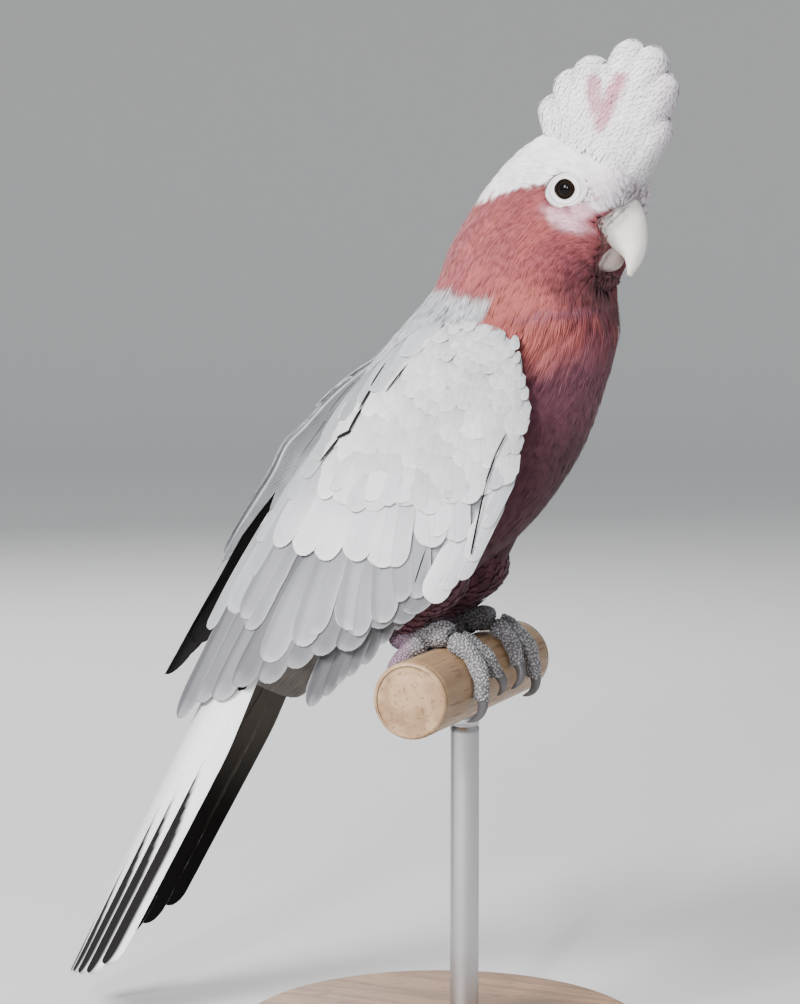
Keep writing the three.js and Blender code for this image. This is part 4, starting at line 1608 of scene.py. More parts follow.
@dataclass
class Skin:
    """The one skin under the feathers, with the feet, the eye rings and the wing arms."""

    form: BodyForm
    markings: Markings
    legs: list
    sockets: list
    wings: list
    depth: float = 1.5
    body_voxel: float = 1.15
    body_passes: int = 6
    body_net: tuple = (120, 72)
    foot_voxel: float = 0.42
    foot_passes: int = 3
    socket_depth: float = 4.0
    face_back: float = 2.8
    shade: float = 0.62
    # the cere's pale colour, used as painted light on the recess wall beside the bill's root
    cere_painted_light: tuple = (0.78, 0.72, 0.70)
    toes: int = 4

    def body_part(self, form: BodyForm, depth: float) -> Solid:
        """The body's tube, sunk by a depth."""
        rows, around = self.body_net
        a, b = grid(np.linspace(0.02, form.last, rows), circle(around))
        return tube_mesh(form.place(a, b, -(depth * (0.45 + 0.55 * smooth(2.5, 6.5, a)))))

    def hollowed(self, points: Array) -> Array:
        """The skin with room for the eyes."""
        x, y, z = turned(points, -1.0).T
        mid_x, mid_z, wide, high = self.sockets[0].ring
        keep = smooth(0.62, 1.0, np.hypot((x - mid_x) / wide, (z - mid_z) / high))
        sunk = np.sign(y) * (np.abs(y) - self.socket_depth * (1 - keep) * (np.abs(y) > 8))
        head = ((points[:, 0] > 20) & (points[:, 2] > 115))[:, None]
        return np.where(head, turned(beside(x, sunk, z)), points)

    def build(self, under: Finish, bare: Finish, ring: Finish) -> None:
        """Makes the skin and the foot scales.

        Args:
            under: The material under the feathers.
            bare: The feet's material.
            ring: The eye rings' material.
        """
        trunk = self.body_part(BodyForm(face_back=self.face_back), self.depth)
        parts = [trunk] + [leg.thigh_part() for leg in self.legs]
        points, quads = remeshed(parts, self.body_voxel, self.body_passes)
        a, b = grid(np.linspace(0, self.form.last, 160), np.linspace(0, ROUND, 90))
        tree = tree_of(self.form.raw(a, b).reshape(-1, 3))
        near = np.array([tree.find(point)[1] for point in points])
        plain = self.form.unturned(a, b).reshape(-1, 3)[near]
        colours = self.markings.body(plain, a.ravel()[near]) * self.shade
        ahead = self.form.before_bill(turned(points, -1.0))
        # painted light: the recess wall behind the face's edge by the bill takes the pale cere colour,
        # lifting it out of its shade
        wall = smooth(-2.9, -1.9, ahead) * smooth(136, 139, plain[:, 2])
        sheaf = Sheaf.of(self.hollowed(points), quads, [], mixed(colours, self.cere_painted_light, wall))
        for wing in self.wings:
            sheaf.add(*wing.arm())
        head = self.head_surface()
        for socket in self.sockets:
            sheaf.add(*socket.lids(head), slot=2)
        for leg in self.legs:
            foot, faces = remeshed(leg.foot_parts(), self.foot_voxel, self.foot_passes)
            tone = mixed(leg.skin, leg.joint, smooth(-6, -14, foot[:, 0]))
            sheaf.add(foot, faces, [], tone, slot=1)
            leg.scales(foot, faces, bare)
        nodes = ["head", "neck", "trunk"]
        for side in Side:
            nodes += [f"thigh_{side.word}", f"shank_{side.word}"]
            nodes += [f"toe_{side.word}_{number + 1}" for number in range(self.toes)]
        finished(sheaf, "skin", [under, bare, ring], nodes)

    def head_surface(self) -> BVHTree:
        """The straight head's surface, for the eye rings to rest on."""
        points, quads, tris = self.body_part(BodyForm(straight=True), 0.2)
        return BVHTree.FromPolygons(points.tolist(), quads.tolist() + tris.tolist())


@dataclass
class Bill:
    """The hooked upper bill and the lower bill that closes into it."""

    upper: tuple = (
        # ridge x and z, cutting edge x and z, half width
        (57.5, 154.4, 47.5, 146.4, 8.6),
        (62.8, 151, 50.2, 141.4, 9),
        (65.6, 145.8, 53.2, 136.8, 8),
        (66.5, 140.4, 56.8, 133.8, 6),
        (66.2, 135.2, 59, 131.8, 4.5),
        (64.4, 130.4, 59.6, 129.8, 2.9),
        (61.2, 125.8, 59.6, 126.6, 0.9),
    )
    lower: tuple = (
        (47.5, 144, 44, 131, 8.6),
        (51.5, 140, 48, 128.4, 8),
        (54.6, 137, 51.6, 127, 6.8),
        (57.2, 134.4, 55.2, 128, 4.4),
        (58, 131.8, 57.2, 130, 1.4),
    )
    rings: int = 60
    around: int = 48
    keel: float = 0.22
    lower_tint: tuple = (0.50, 0.42, 0.42)

    def half(self, rows: Sequence[tuple], keel: float) -> Solid:
        """One half of the bill.

        Args:
            rows: Its sections.
            keel: How far the ridge stands up between the flat cheeks.

        Returns:
            The points, the four-sided and the three-sided faces.
        """
        t = np.linspace(0, len(rows) - 1, self.rings)[:, None]
        row, angle = along(rows, t), circle(self.around)
        point = section(row, angle, 0.55)
        power = np.where(np.cos(angle) > 0, 1 + keel, 0.8)
        flat = np.sign(np.sin(angle)) * np.abs(np.sin(angle)) ** power
        point[..., 1] = row[..., 4] * flat * (1 + 0.006 * np.sin(t * 17) * np.sin(angle * 2))
        return tube_mesh(turned(point))

    def build(self, horn: Finish) -> None:
        """Makes both halves."""
        share = np.append(np.repeat(np.linspace(0, 1, self.rings), self.around), [0, 1])
        colour = painted((0.80, 0.74, 0.74), (
            ((1, 1, 1), smooth(0.02, 0.3, share)),
            ((0.86, 0.82, 0.76), smooth(0.75, 1, share)),
        ))
        halves = (
            ("upper", self.half(self.upper, self.keel), colour),
            ("lower", self.half(self.lower, 0), colour * self.lower_tint),
        )
        for word, solid, tint in halves:
            finished(Sheaf.of(*solid, tint), f"bill_horn_{word}", [horn], [f"bill_{word}"])


# ---- plumage


def mottled(plume: Plume, low: float, gain: float, full: float, each: Array) -> Array:
    """How light feathers are: low at the root, with a gain up to a share of the length, times each."""
    return each * (low + gain * smooth(0.1, full, plume.s))[..., None]


class Region(Enum):
    """A part of the body's coat: its piece, stations, angles from the back, seed, node and slot."""

    HEAD = ("head_feathers", (0.0, 3.6), (-3.1416, 3.1416), 17, "head", Slot.ROSE)
    CROWN = ("crown_feathers", (3.6, 6.3), (-3.1416, 3.1416), 18, "head", Slot.WHITE)
    NECK = ("neck_feathers", (6.3, 9.3), (-3.1416, 3.1416), 19, "neck", Slot.ROSE)
    BREAST = ("breast_feathers", (9.3, 12.2), (1.2, 5.083), 20, "trunk", Slot.ROSE)
    BELLY = ("belly_feathers", (12.2, 17.0), (1.35, 4.933), 21, "trunk", Slot.ROSE)
    BACK = ("back_feathers", (9.3, 16.8), (-1.55, 1.55), 22, "trunk", Slot.GREY)

    def __init__(
        self, title: str, a_range: tuple, b_range: tuple, seed: int, node: str, slot: Slot
    ) -> None:
        """Keeps the region's facts."""
        self.title, self.a_range, self.b_range = title, a_range, b_range
        self.seed, self.node, self.slot = seed, node, slot


@dataclass
class Coat:
    """The small soft feathers of the head and body."""

    form: BodyForm
    markings: Markings
    ring: tuple = (45.85, 154.3, 7.15, 6.05)
    gap_by_station: tuple = (
        (0, 0.95), (1.5, 1), (4, 1.15), (7, 1.35), (9.5, 1.65), (12, 2.1), (17, 2.6),
    )
    length_by_station: tuple = (
        (0, 3), (1, 4), (3, 5.4), (6, 7.2), (9, 9), (12, 12.5), (14.5, 17), (17, 20),
    )
    width_by_station: tuple = (
        (0, 1.5), (1.5, 1.9), (4, 2.5), (7, 3.2), (9.5, 4.2), (12, 6), (17, 7.5),
    )
    tries: int = 90000
    straight: BodyForm = field(default_factory=lambda: BodyForm(straight=True))

    def off_ring(self, points: Array) -> Array:
        """Where points lie outside the bare ring round the eye."""
        mid_x, mid_z, wide, high = self.ring
        return np.hypot((points[..., 0] - mid_x) / wide, (points[..., 2] - mid_z) / high) > 1

    def keep(self, plain: Array) -> Array:
        """Leaves out the eye rings, the bill and what the wings cover."""
        side, wing = plain[..., 1], WingForm()
        p, q = wing.flat(plain[..., 0], plain[..., 2])
        q = q - wing.left_lift * (side > 0)
        front, back = pairs(wing.front, p), pairs(wing.back, p)
        covered = (q > front + 15) & (q < back - 9) & (p > 9) & (p < 76) & (np.abs(side) > 9)
        return self.off_ring(plain) & ~covered & (self.form.before_bill(plain) < 1.1)

    def lie(self, a: Array, b: Array, plain: Array) -> Array:
        """How far each feather turns from the line of the back, in radians.

        Args:
            a: The station of each root.
            b: Its angle from the back.
            plain: Its place with the head straight.

        Returns:
            The angles. Feathers in front of the crest rise into it.
        """
        ahead, aside = self.straight.slopes(a, b)
        ahead = unit(ahead)
        aside = unit(aside - ahead * (aside * ahead).sum(-1, keepdims=True))
        lean = mixed((-0.35, 0.0, 0.94), (0.38, 0.0, 0.93), smooth(44, 58, plain[..., 0]))
        rise = self.rising(plain)[..., None]
        way = (1 - rise) * ahead + lean * rise
        wave = 0.10 * np.sin(3 * b + a) * smooth(5, 8, a)
        return np.arctan2((way * aside).sum(-1), (way * ahead).sum(-1)) + wave

    @staticmethod
    def rising(plain: Array) -> Array:
        """How much the feathers of the forehead and crown rise into the crest."""
        return smooth(156, 170, plain[..., 2]) * smooth(27, 38, plain[..., 0])

    def over_ring(self, a: Array, b: Array, angle: Array, length: Array) -> Array:
        """Which feathers have a place on an eye ring at a length from their roots."""
        ahead, aside = length * np.cos(angle), length * np.sin(angle)
        tip = self.form.unturned(*self.straight.reached(a, b, ahead, aside))
        return ~self.off_ring(tip) & (a < 5)

    def build(self, soft: Finish) -> None:
        """Makes the coat of each region."""
        for region in Region:
            self.region(region, soft)

    def region(self, region: Region, soft: Finish) -> None:
        """Makes the coat of a region.

        Args:
            region: The region.
            soft: The feathers' material.
        """
        rng = seeded(region.seed)
        a, b = scattered(
            self.form, region.a_range, region.b_range, self.tries, rng,
            lambda a: pairs(self.gap_by_station, a), self.keep,
        )
        plain = self.form.unturned(a, b)
        size = rng.uniform(0.85, 1.18, len(a))
        angle = rng.normal(0, 0.10, len(a)) + self.lie(a, b, plain)
        length = pairs(self.length_by_station, a) * size
        length = np.where(self.over_ring(a, b, angle, length), length * 0.5, length)
        stays = ~self.over_ring(a, b, angle, length * 0.5)
        a, b, plain, size, angle, length = (v[stays] for v in (a, b, plain, size, angle, length))
        p, _ = WingForm().flat(plain[:, 0], plain[:, 2])
        over_wing = smooth(-24, -14, p) * smooth(3, -5, p) * smooth(14, 22, np.abs(plain[:, 1]))
        stand = 2.2 * over_wing + 1.3 * self.markings.fold(plain)
        growth = Growth(
            a, b, length=length * (1 + 0.9 * self.rising(plain)) * (1 + 0.45 * over_wing),
            width=pairs(self.width_by_station, a) * size, angle=angle,
            sunk=-1.15 * (0.55 + 0.45 * smooth(2, 7, a)),
            risen=0.1 + rng.uniform(0, 0.3, len(a)) + stand,
            camber=0.25, layer=rng.uniform(-0.08, 0.08, len(a)),
        )
        net = Net.tuft(rows=3, tines=6)
        plume = grown(self.form, net, growth, rng)
        base = self.markings.body(self.form.unturned(plume.a, plume.b), plume.a)
        light = mottled(plume, 0.86, 0.17, 0.95, 1 + rng.normal(0, 0.05, (len(a), 1, 1)))
        place = beside(np.mod(b / ROUND, 1), a / self.form.last) * 0.99 + 0.005
        sheaf = Sheaf()
        spread(sheaf, net, plume, base * light, place)
        finished(sheaf, region.title, [soft], [region.node])


@dataclass
class Crest:
    """The raised crest: rounded lobes of soft white plumes over a pink notch."""

    markings: Markings
    lobes: tuple = (
        # root x and z, tip x and z, half breadth along the head, half breadth across
        (57.5, 156, 73.2, 178.5, 5.4, 9),
        (57, 160, 74.6, 192.4, 6.4, 10.6),
        (56, 163, 69.6, 201.4, 7.2, 11.6),
        (54, 166, 61.6, 203.8, 7.2, 11.8),
        (46, 168, 46.4, 199, 6.6, 11.5),
        (43, 168, 38, 194.6, 6.6, 11),
        (38, 166, 31, 186.2, 6, 9.5),
    )
    gap: float = 1.16
    tries: int = 22000
    plume_length: tuple = (6.4, 4.8)
    plume_width: float = 2.2
    between: tuple = (0.6, 0.28, 0.4)
    sunk: float = 0.5
    core_sunk: float = 1.2
    core_net: tuple = (16, 20)
    quill_lobe: int = 4
    # root's a and b, length, width and angle of each quill
    young: tuple = (
        (0.12, -2.45, 17, 1.5, 0), (0.2, -2.3, 15, 1.7, 0.08),
        (0.36, -2.05, 9, 1.3, -0.05), (0.3, -2.18, 7, 1, 0.05),
    )

    def forms(self, sunk: float) -> list[LobeForm]:
        """The lobes and the shorter ones between them, drawn in by a depth."""
        rows = list(self.lobes)
        least, share, wider = self.between
        for first, second in zip(self.lobes, self.lobes[1:]):
            rx, rz, tx, tz, breadth, across = np.mean([first, second], axis=0)
            apart, length = math.dist(first[2:4], second[2:4]), math.dist((rx, rz), (tx, tz))
            short = (least + share * apart) / length
            tip = tx + (rx - tx) * short, tz + (rz - tz) * short
            rows.append((rx, rz, *tip, breadth, across + wider))
        return [self.lobe(row, sunk) for row in rows]

    @staticmethod
    def lobe(row: tuple, sunk: float = 0.0) -> LobeForm:
        """The form of a lobe, drawn in by a depth."""
        rx, rz, tx, tz, breadth, across = row
        return LobeForm((rx, rz), (tx, tz), breadth - sunk, across - sunk)

    def build(self, soft: Finish) -> None:
        """Makes the plumes of all the lobes as one piece, and what stands under them."""
        rng = seeded(7)
        sheaf, forms = Sheaf(), self.forms(self.sunk)
        for number in range(len(forms)):
            self.plumes(sheaf, forms, number, rng)
        for form in self.forms(self.core_sunk):
            self.core(sheaf, form)
        self.quills(sheaf, rng)
        finished(sheaf, "crest_plumes", [soft], ["crest"])

    def plumes(
        self, sheaf: Sheaf, forms: Sequence[LobeForm], number: int, rng: Random
    ) -> None:
        """Adds the plumes of one lobe, where no other lobe covers them.

        Args:
            sheaf: The crest's parts.
            forms: All the lobes.
            number: Which lobe.
            rng: The source of the plumes' differences.
        """
        form = forms[number]
        others = [other for other in forms if other is not form]
        a, b = scattered(
            form, (-0.05, 0.9), (0, ROUND), self.tries, rng, lambda a: self.gap,
            lambda plain: ~np.any([other.holds(plain) for other in others], axis=0),
        )
        count, near = len(a), np.clip(a, 0, 1)
        length = blend(self.plume_length, near) * rng.uniform(0.85, 1.15, count)
        growth = Growth(
            a, b, length=np.minimum(length, (1.01 - a) * form.length),
            width=self.plume_width * rng.uniform(0.8, 1.2, count), angle=rng.normal(0, 0.07, count),
            sunk=-0.8, risen=0.02 + rng.uniform(0, 0.09, count), camber=0.07,
            layer=rng.uniform(-0.05, 0.05, count), frizz=0.07,
        )
        net = Net.tuft(rows=3, tines=6)
        plume = grown(form, net, growth, rng)
        colours = self.markings.crest(form.unturned(plume.a, plume.b))
        light = mottled(plume, 0.9, 0.12, 0.95, 1 + rng.normal(0, 0.02, (count, 1, 1)))
        row = (number + np.clip(a, 0, 0.9)) / len(forms)
        place = beside(np.mod(b / ROUND, 1), row) * 0.98 + 0.01
        spread(sheaf, net, plume, colours * light, place)

    def core(self, sheaf: Sheaf, form: LobeForm) -> None:
        """Adds the closed body of a lobe under its plumes."""
        rows, around = self.core_net
        a, b = grid(np.linspace(0, 0.97, rows), circle(around))
        solid = tube_mesh(form.raw(a, b))
        plain = form.unturned(a, b).reshape(-1, 3)
        shade = self.markings.crest(np.concatenate([plain, plain[:1], plain[-1:]])) * 0.97
        corner = np.full((len(shade), 2), 0.995)
        sheaf.add(*solid, shade, corner, corner)

    def quills(self, sheaf: Sheaf, rng: Random) -> None:
        """Adds the young quills, still in their sheaths, beside the notch on the right."""
        a, b, length, width, angle = np.array(self.young).T
        growth = Growth(
            a, b, length=length, width=width, angle=angle, sunk=0.6, risen=1.7, camber=0.4, root=0.8,
        )
        net = Net.blade(rows=7, tip_rows=4, columns=5)
        plume = grown(self.lobe(self.lobes[self.quill_lobe]), net, growth, rng)
        sheath = mixed((0.62, 0.33, 0.24), (0.86, 0.78, 0.72), smooth(0.1, 0.6, plume.s))
        sheath[-1] = (0.10, 0.08, 0.09)
        spread(sheaf, net, plume, sheath, beside(a, 0.9))


class Vane(Enum):
    """Kinds of long feathers: their colour, fringe and lining, and how dark the inner vane is."""

    WING = (Markings.wing, (0.70, 0.71, 0.74), Markings.pale, 0.0)
    MIDDLE = ((0.29, 0.295, 0.32), (0.44, 0.445, 0.47), Markings.pale, 0.36)
    FLIGHT = ((0.175, 0.177, 0.195), (0.32, 0.323, 0.345), Markings.slate, 0.68)
    MANTLE = ((0.355, 0.365, 0.385), (0.44, 0.45, 0.47), Markings.pale, 0.0)
    PRIMARY = ((0.13, 0.13, 0.14), (0.33, 0.33, 0.36), Markings.slate, 0.68)
    BLACK = (Markings.black, (0.02, 0.019, 0.019), Markings.black, 0.0)


@dataclass(frozen=True)
class Row:
    """A row of long feathers: the line of their tips, how many, and their sizes."""

    tips: tuple
    count: int
    widths: tuple
    sunk: float
    risen: float
    lengths: tuple = ()
    roots: tuple = ()
    vane: Vane = Vane.WING
    turn: float = 0.0
    tilt: float = 0.35
    stray: float = 2.2
    point: float = 1.3


@dataclass
class Wing:
    """One folded wing: its arm, its coverts, its long flight feathers and its primaries."""

    side: Side
    markings: Markings
    lie: tuple = ((-26, -33), (-12, -27), (0, -19), (15, -9), (30, -1), (60, 3))
    secondaries: Row = Row(
        tips=((97, -12), (105, -7), (119, 3), (132, 14), (148, 24), (162, 33), (174, 41.5), (188, 51.5)),
        roots=((76, -15), (78, 50)), count=11, widths=(12, 18), sunk=-2.3, risen=-1.1,
        vane=Vane.FLIGHT, stray=2.4, point=1.5,
    )
    second: Row = Row(
        tips=((92, -16), (101, -9), (113, -1), (121, 8), (132, 21), (143, 35), (133, 47)),
        count=10, lengths=(38, 56), widths=(12, 15.5), sunk=-1.9, risen=-0.5,
        vane=Vane.MIDDLE, stray=4, point=1.5,
    )
    greater: Row = Row(
        tips=((64, -19), (73, -10), (84, 0), (91, 10), (98.5, 24), (104, 40)),
        count=9, lengths=(30, 36), widths=(12, 15.5), sunk=-1.6, risen=-0.1, stray=4,
    )
    median: Row = Row(
        tips=((44, -15), (56, -6), (66, 7), (74, 22), (80, 38)),
        count=10, lengths=(20, 25), widths=(9.5, 12), sunk=-1.4, risen=0.1, stray=3.6,
    )
    edging: Row = Row(
        tips=((51, -20), (63, -21.8), (76, -21.8), (89, -17.5)),
        count=7, lengths=(22, 38), widths=(5.5, 9), sunk=-2.8, risen=0.3, turn=30, stray=0.9,
    )
    scapulars: Row = Row(
        tips=((24, 30), (40, 37), (56, 43), (74, 47), (92, 49), (112, 51)),
        count=11, lengths=(22, 36), widths=(11, 13), sunk=-0.9, risen=0.7,
        vane=Vane.MANTLE, tilt=-0.3,
    )
    # painted shadow: thin black strips laid along the shadowed gaps between the scapulars and the coverts
    shadow_slits: Row = Row(
        tips=((57, 36.2), (61, 39.8), (72, 41.3), (48.5, 37.1), (39.5, 37.6)),
        roots=((47, 37), (55.5, 35.9), (60, 39.2), (38.5, 37.8), (30.5, 38.3)),
        count=5, widths=(1.8, 1.1), sunk=0.2, risen=0.75, vane=Vane.BLACK, stray=0.25, point=14,
    )
    # painted shadow: thin black strips laid along shadowed seams between feathers near the wing's front and
    # back edges
    seams: Row = Row(
        tips=((37.5, 31), (60, 56.5), (81, 55.8), (43, -16), (67, -22.5), (34, -14), (85, -11.2)),
        roots=((25.5, 29.5), (45, 49.5), (64, 56), (33, -14), (42, -15.7), (25, -13.5), (72, -9.2)),
        count=7, widths=(0.75, 0.45), sunk=0.3, risen=0.85, vane=Vane.BLACK, stray=0.2, point=14,
    )
    tertials: Row = Row(
        tips=((124, 47), (141, 50.5), (153, 56)), count=3, lengths=(48, 60), widths=(14, 15),
        sunk=-1.5, risen=-0.2, vane=Vane.MANTLE, tilt=-0.3,
    )
    primaries_right: Row = Row(
        tips=((97, -13), (112, -9.5), (127, -4.5), (138, 0), (149, 6)), roots=((80, -10), (86, 8)),
        count=8, widths=(6.2, 7.5), sunk=-5.4, risen=-4.9, vane=Vane.PRIMARY, stray=0.8, point=2.6,
    )
    primaries_left: Row = Row(
        tips=((122, 30), (134, 37), (147, 43), (159, 48), (171, 52), (181, 53.2)),
        roots=((96, 22), (96, 48.5)), count=8, widths=(11, 12), sunk=-2.2, risen=-5.1,
        vane=Vane.BLACK, stray=0.8, point=2.2,
    )
    under_tips: Row = Row(
        tips=((176, 37), (178, 40)), roots=((135, 28), (135, 31)), count=2, widths=(5, 6),
        sunk=-4, risen=-3.4, vane=Vane.BLACK, stray=0.2, point=2,
    )
    far_tertials: tuple = ((112, 48), (124, 52), (135, 54.5))
    far_tips: tuple = (
        (97, -12), (106, -6), (118, 4), (128, 14), (138, 23), (146, 31), (149, 40), (140, 49),
    )
    arm_net: tuple = (40, 26)
    arm_sunk: float = 2.1
    arm_shade: float = 0.62
    inner_vane: tuple = (0.07, 0.07, 0.078)
    lining_net: tuple = (70, 12)
    lining_heights: tuple = (-2.5, -2.9)
    lining_end: float = 138.0
    lesser_from: float = -1.0
    lesser_to: float = 62.0
    lesser_end: tuple = ((-26, 26), (-14, 34), (0, 46), (15, 54), (30, 60), (45, 62))

    @property
    def form(self) -> WingForm:
        """The wing's outer surface."""
        return WingForm(side=self.side)

    def arm(self) -> tuple[Array, Array, Array, Array]:
        """The wing's arm under its feathers, as a closed pad, and its colour."""
        rows, across = self.arm_net
        a, s = np.linspace(3, self.form.end - 3, rows)[:, None], np.linspace(0, 1, across)
        rim = 9.0 if self.side is Side.LEFT else 4.0
        b = blend((pairs(self.form.front, a) + 4.5, pairs(self.form.back, a) - rim), s)
        thick = 0.4 + 2.4 * np.sqrt(np.clip(1 - (2 * s - 1) ** 4, 0, 1))
        outer, inner = (self.form.place(a, b, -self.arm_sunk - depth) for depth in (0, thick))
        rings = np.concatenate([outer, inner[:, ::-1]], 1)
        if self.side is Side.RIGHT:
            rings = rings[:, ::-1]
        return (*tube_mesh(rings), np.array(self.markings.wing) * self.arm_shade)

    def growth(self, row: Row) -> Growth:
        """The feathers of a row."""
        share = np.linspace(0, 1, row.count)
        rng = seeded(row.count + int(10 * abs(row.tips[0][0])))
        tips = along(row.tips, share * (len(row.tips) - 1))
        tips = tips + rng.uniform(-1, 1, (row.count, 2)) * row.stray
        widths = blend(row.widths, share) * rng.uniform(0.86, 1.12, row.count)
        if row.roots:
            roots = along(row.roots, share * (len(row.roots) - 1))
        else:
            way = np.radians(pairs(self.lie, tips[:, 1]) + row.turn)
            lengths = blend(row.lengths, share)[:, None]
            roots = tips - lengths * beside(np.cos(way), np.sin(way))
        return Growth.between(
            self.form, roots, tips, widths, sunk=row.sunk,
            risen=row.risen + rng.uniform(-0.2, 0.2, row.count),
            camber=np.minimum(0.7, 0.1 * widths)[:, None],
            tilt=row.tilt * np.minimum(1, widths / 6)[:, None], thick=0.22,
            layer=math.copysign(0.05, row.tilt) * np.arange(row.count), ragged=0.012,
            point=row.point,
        )

    def colour(self, row: Row, plume: Plume, rng: Random) -> Array:
        """The colours of a row's feathers, with pale edges and painted shade on the roots that the row above
        covers.

        Args:
            row: The row.
            plume: Its grown feathers.
            rng: The source of small differences.

        Returns:
            A colour for each point.
        """
        base, fringe, lining, dark = row.vane.value
        each = (len(plume.s), 1, 1)
        tone = 1 + rng.normal(0, 0.07, each) - 0.16 * (rng.uniform(size=each) < 0.25)
        edge, tip = smooth(0.62, 1.0, np.abs(plume.u)), smooth(0.9, 1.0, plume.s)
        colour = mixed(base, fringe, np.clip(edge * 0.75 + tip * 0.8, 0, 1)) * tone
        inner = smooth(0.05, 0.25, plume.u) * smooth(0.98, 0.75, plume.u)
        colour = mixed(colour, self.inner_vane, inner * dark)
        # painted shade: each feather's root darkens where the row above covers it
        colour = colour * (1 - 0.30 * smooth(0.75, 0.1, plume.s)[..., None])
        return mixed(colour, lining, plume.under)

    def piece(
        self, title: str, rows: Sequence[Row], firm: Finish, node: str, slot: Slot
    ) -> None:
        """Makes one piece of the wing. The small coverts are part of the coverts' piece.

        Args:
            title: The piece's name without the side.
            rows: Its rows of long feathers.
            firm: Its material.
            node: The node that it replaces.
            slot: The record's slot; not used.
        """
        rng = seeded(60 + len(title) + self.side.value)
        sheaf, net, number = Sheaf(), Net.blade(rows=9, tip_rows=6, columns=9), 0
        for row in rows:
            plume = grown(self.form, net, self.growth(row), rng)
            spread(sheaf, net, plume, self.colour(row, plume, rng), cells=8, first_cell=number)
            number += row.count
        if title == "wing_coverts":
            self.lesser(sheaf, rng)
            if self.side is Side.LEFT:
                self.lining(sheaf)
        finished(sheaf, f"{title}_{self.side.word}", [firm], [node])

    def lining(self, sheaf: Sheaf) -> None:
        """Adds the thin smooth lining along the inside of the wing's raised back edge."""
        rows, across = self.lining_net
        a, s = grid(np.linspace(1, self.lining_end, rows), np.linspace(0, 1, across))
        reach = 18.6 * (1 - 0.97 * smooth(112, self.lining_end, a))
        b = pairs(self.form.back, a) - 1.4 - (1 - s) * reach
        outer, inner = (self.form.place(a, b, depth) for depth in self.lining_heights)
        streak = 1 + 0.10 * np.sin(s * 31 + a * 0.11) + 0.07 * Ripple(9.0, 29).at(inner)
        pale = np.array(self.markings.pale)
        colour = pale * np.append(streak, streak[:, ::-1], 1)[..., None]
        colour = np.concatenate([colour.reshape(-1, 3), [pale] * 2])
        place = np.concatenate([beside(s, a / 140)] * 2, 1).reshape(-1, 2)
        place = np.concatenate([place, [[0.5, 0.0], [0.5, 1.0]]])
        cell = (7.03 + 0.94 * np.clip(place, 0, 1)) / 8
        sheaf.add(*pad_mesh(outer, inner), colour, place, cell)

    def lesser_places(self) -> Array:
        """The a, b and size of the small coverts, row behind row."""
        places, p, row = [], self.lesser_from, 0
        while p < self.lesser_to:
            size = 2.0 + 3.2 * float(smooth(-2, 58, p))
            low = pairs(self.form.front, p) + 1.9 + 0.55 * size + 3.6 * float(smooth(13, -2, p))
            gap = size * 1.25
            for q in np.arange(low + (row % 2) * gap / 2, pairs(self.form.back, p) - 3.0, gap):
                if p < pairs(self.lesser_end, q):
                    places.append((p, q, size))
            p, row = p + size * 0.85, row + 1
        return np.array(places).T

    def lesser(self, sheaf: Sheaf, rng: Random) -> None:
        """Adds the small coverts of the shoulder.

        Args:
            sheaf: The piece's parts.
            rng: The source of their differences.
        """
        a, b, size = self.lesser_places()
        count, first = len(a), smooth(3, -7, a)
        size = size * rng.uniform(0.75, 1.3, count)
        a = a + rng.uniform(-0.6, 0.6, count) * size
        rim = pairs(self.form.front, a)
        near = smooth(11, 4, b - rim)
        b = b + rng.uniform(-0.6, 0.6, count) * size * (1 - near)
        rim_way = np.degrees(np.arctan2(pairs(self.form.front, a + 2) - rim, 2.0))
        way = pairs(self.lie, b) * (1 - near) + (rim_way + 6) * near
        growth = Growth(
            a, b, length=size * (2.9 - 0.3 * near), width=size * (2.2 - 0.7 * near),
            angle=np.radians(way + rng.normal(0, 1, count) * (12 - 7 * near)),
            sunk=-1.3 - 1.2 * first, risen=0.1 - 0.2 * near + rng.uniform(-0.1, 0.12, count),
            camber=0.35, root=0.3, ragged=0.05, droop=0.12,
        )
        net = Net.blade(rows=6, tip_rows=5, columns=9, sides=1)
        plume = grown(self.form, net, growth, rng)
        tone = 1 + rng.normal(0, 0.04, (count, 1, 1))
        tone = tone + 0.05 * Ripple(14.0, 17).at(plume.points.mean(1))[:, None, None]
        # painted shade: a darker patch in the middle of the small coverts
        tone = tone - 0.16 * smooth(26, 8, np.hypot(a - 42, b - 13))[:, None, None]
        edge = smooth(0.8, 1.0, plume.s) + smooth(0.7, 1, np.abs(plume.u)) * 0.5
        colour = mixed((0.62, 0.63, 0.66), (0.68, 0.69, 0.72), np.clip(edge, 0, 1) * 0.7)
        # painted shade: each small covert darkens towards its root, where the row above covers it
        colour = colour * mottled(plume, 0.78, 0.24, 0.85, tone)
        place = beside((a + 12) / 210, (b + 40) / 120) * 0.45 + [0.52, 0.52]
        spread(sheaf, net, plume, colour, place)

    def build(self, firm: Finish) -> None:
        """Makes the wing's three pieces."""
        covers = [self.second, self.greater, self.median, self.edging]
        if self.side is Side.LEFT:
            covers += [replace(self.tertials, tips=self.far_tertials)]
            flight = [replace(self.secondaries, tips=self.far_tips)]
            primaries = self.primaries_left
        else:
            covers += [self.tertials, self.shadow_slits, self.seams]
            flight, primaries = [self.secondaries, self.under_tips], self.primaries_right
        node = f"wing_{self.side.word}"
        self.piece("wing_coverts", covers + [self.scapulars], firm, node, Slot.GREY)
        self.piece("wing_secondaries", flight, firm, f"{node}_flight", Slot.GREY)
        self.piece("wing_primaries", [primaries], firm, f"{node}_primaries", Slot.DARK)


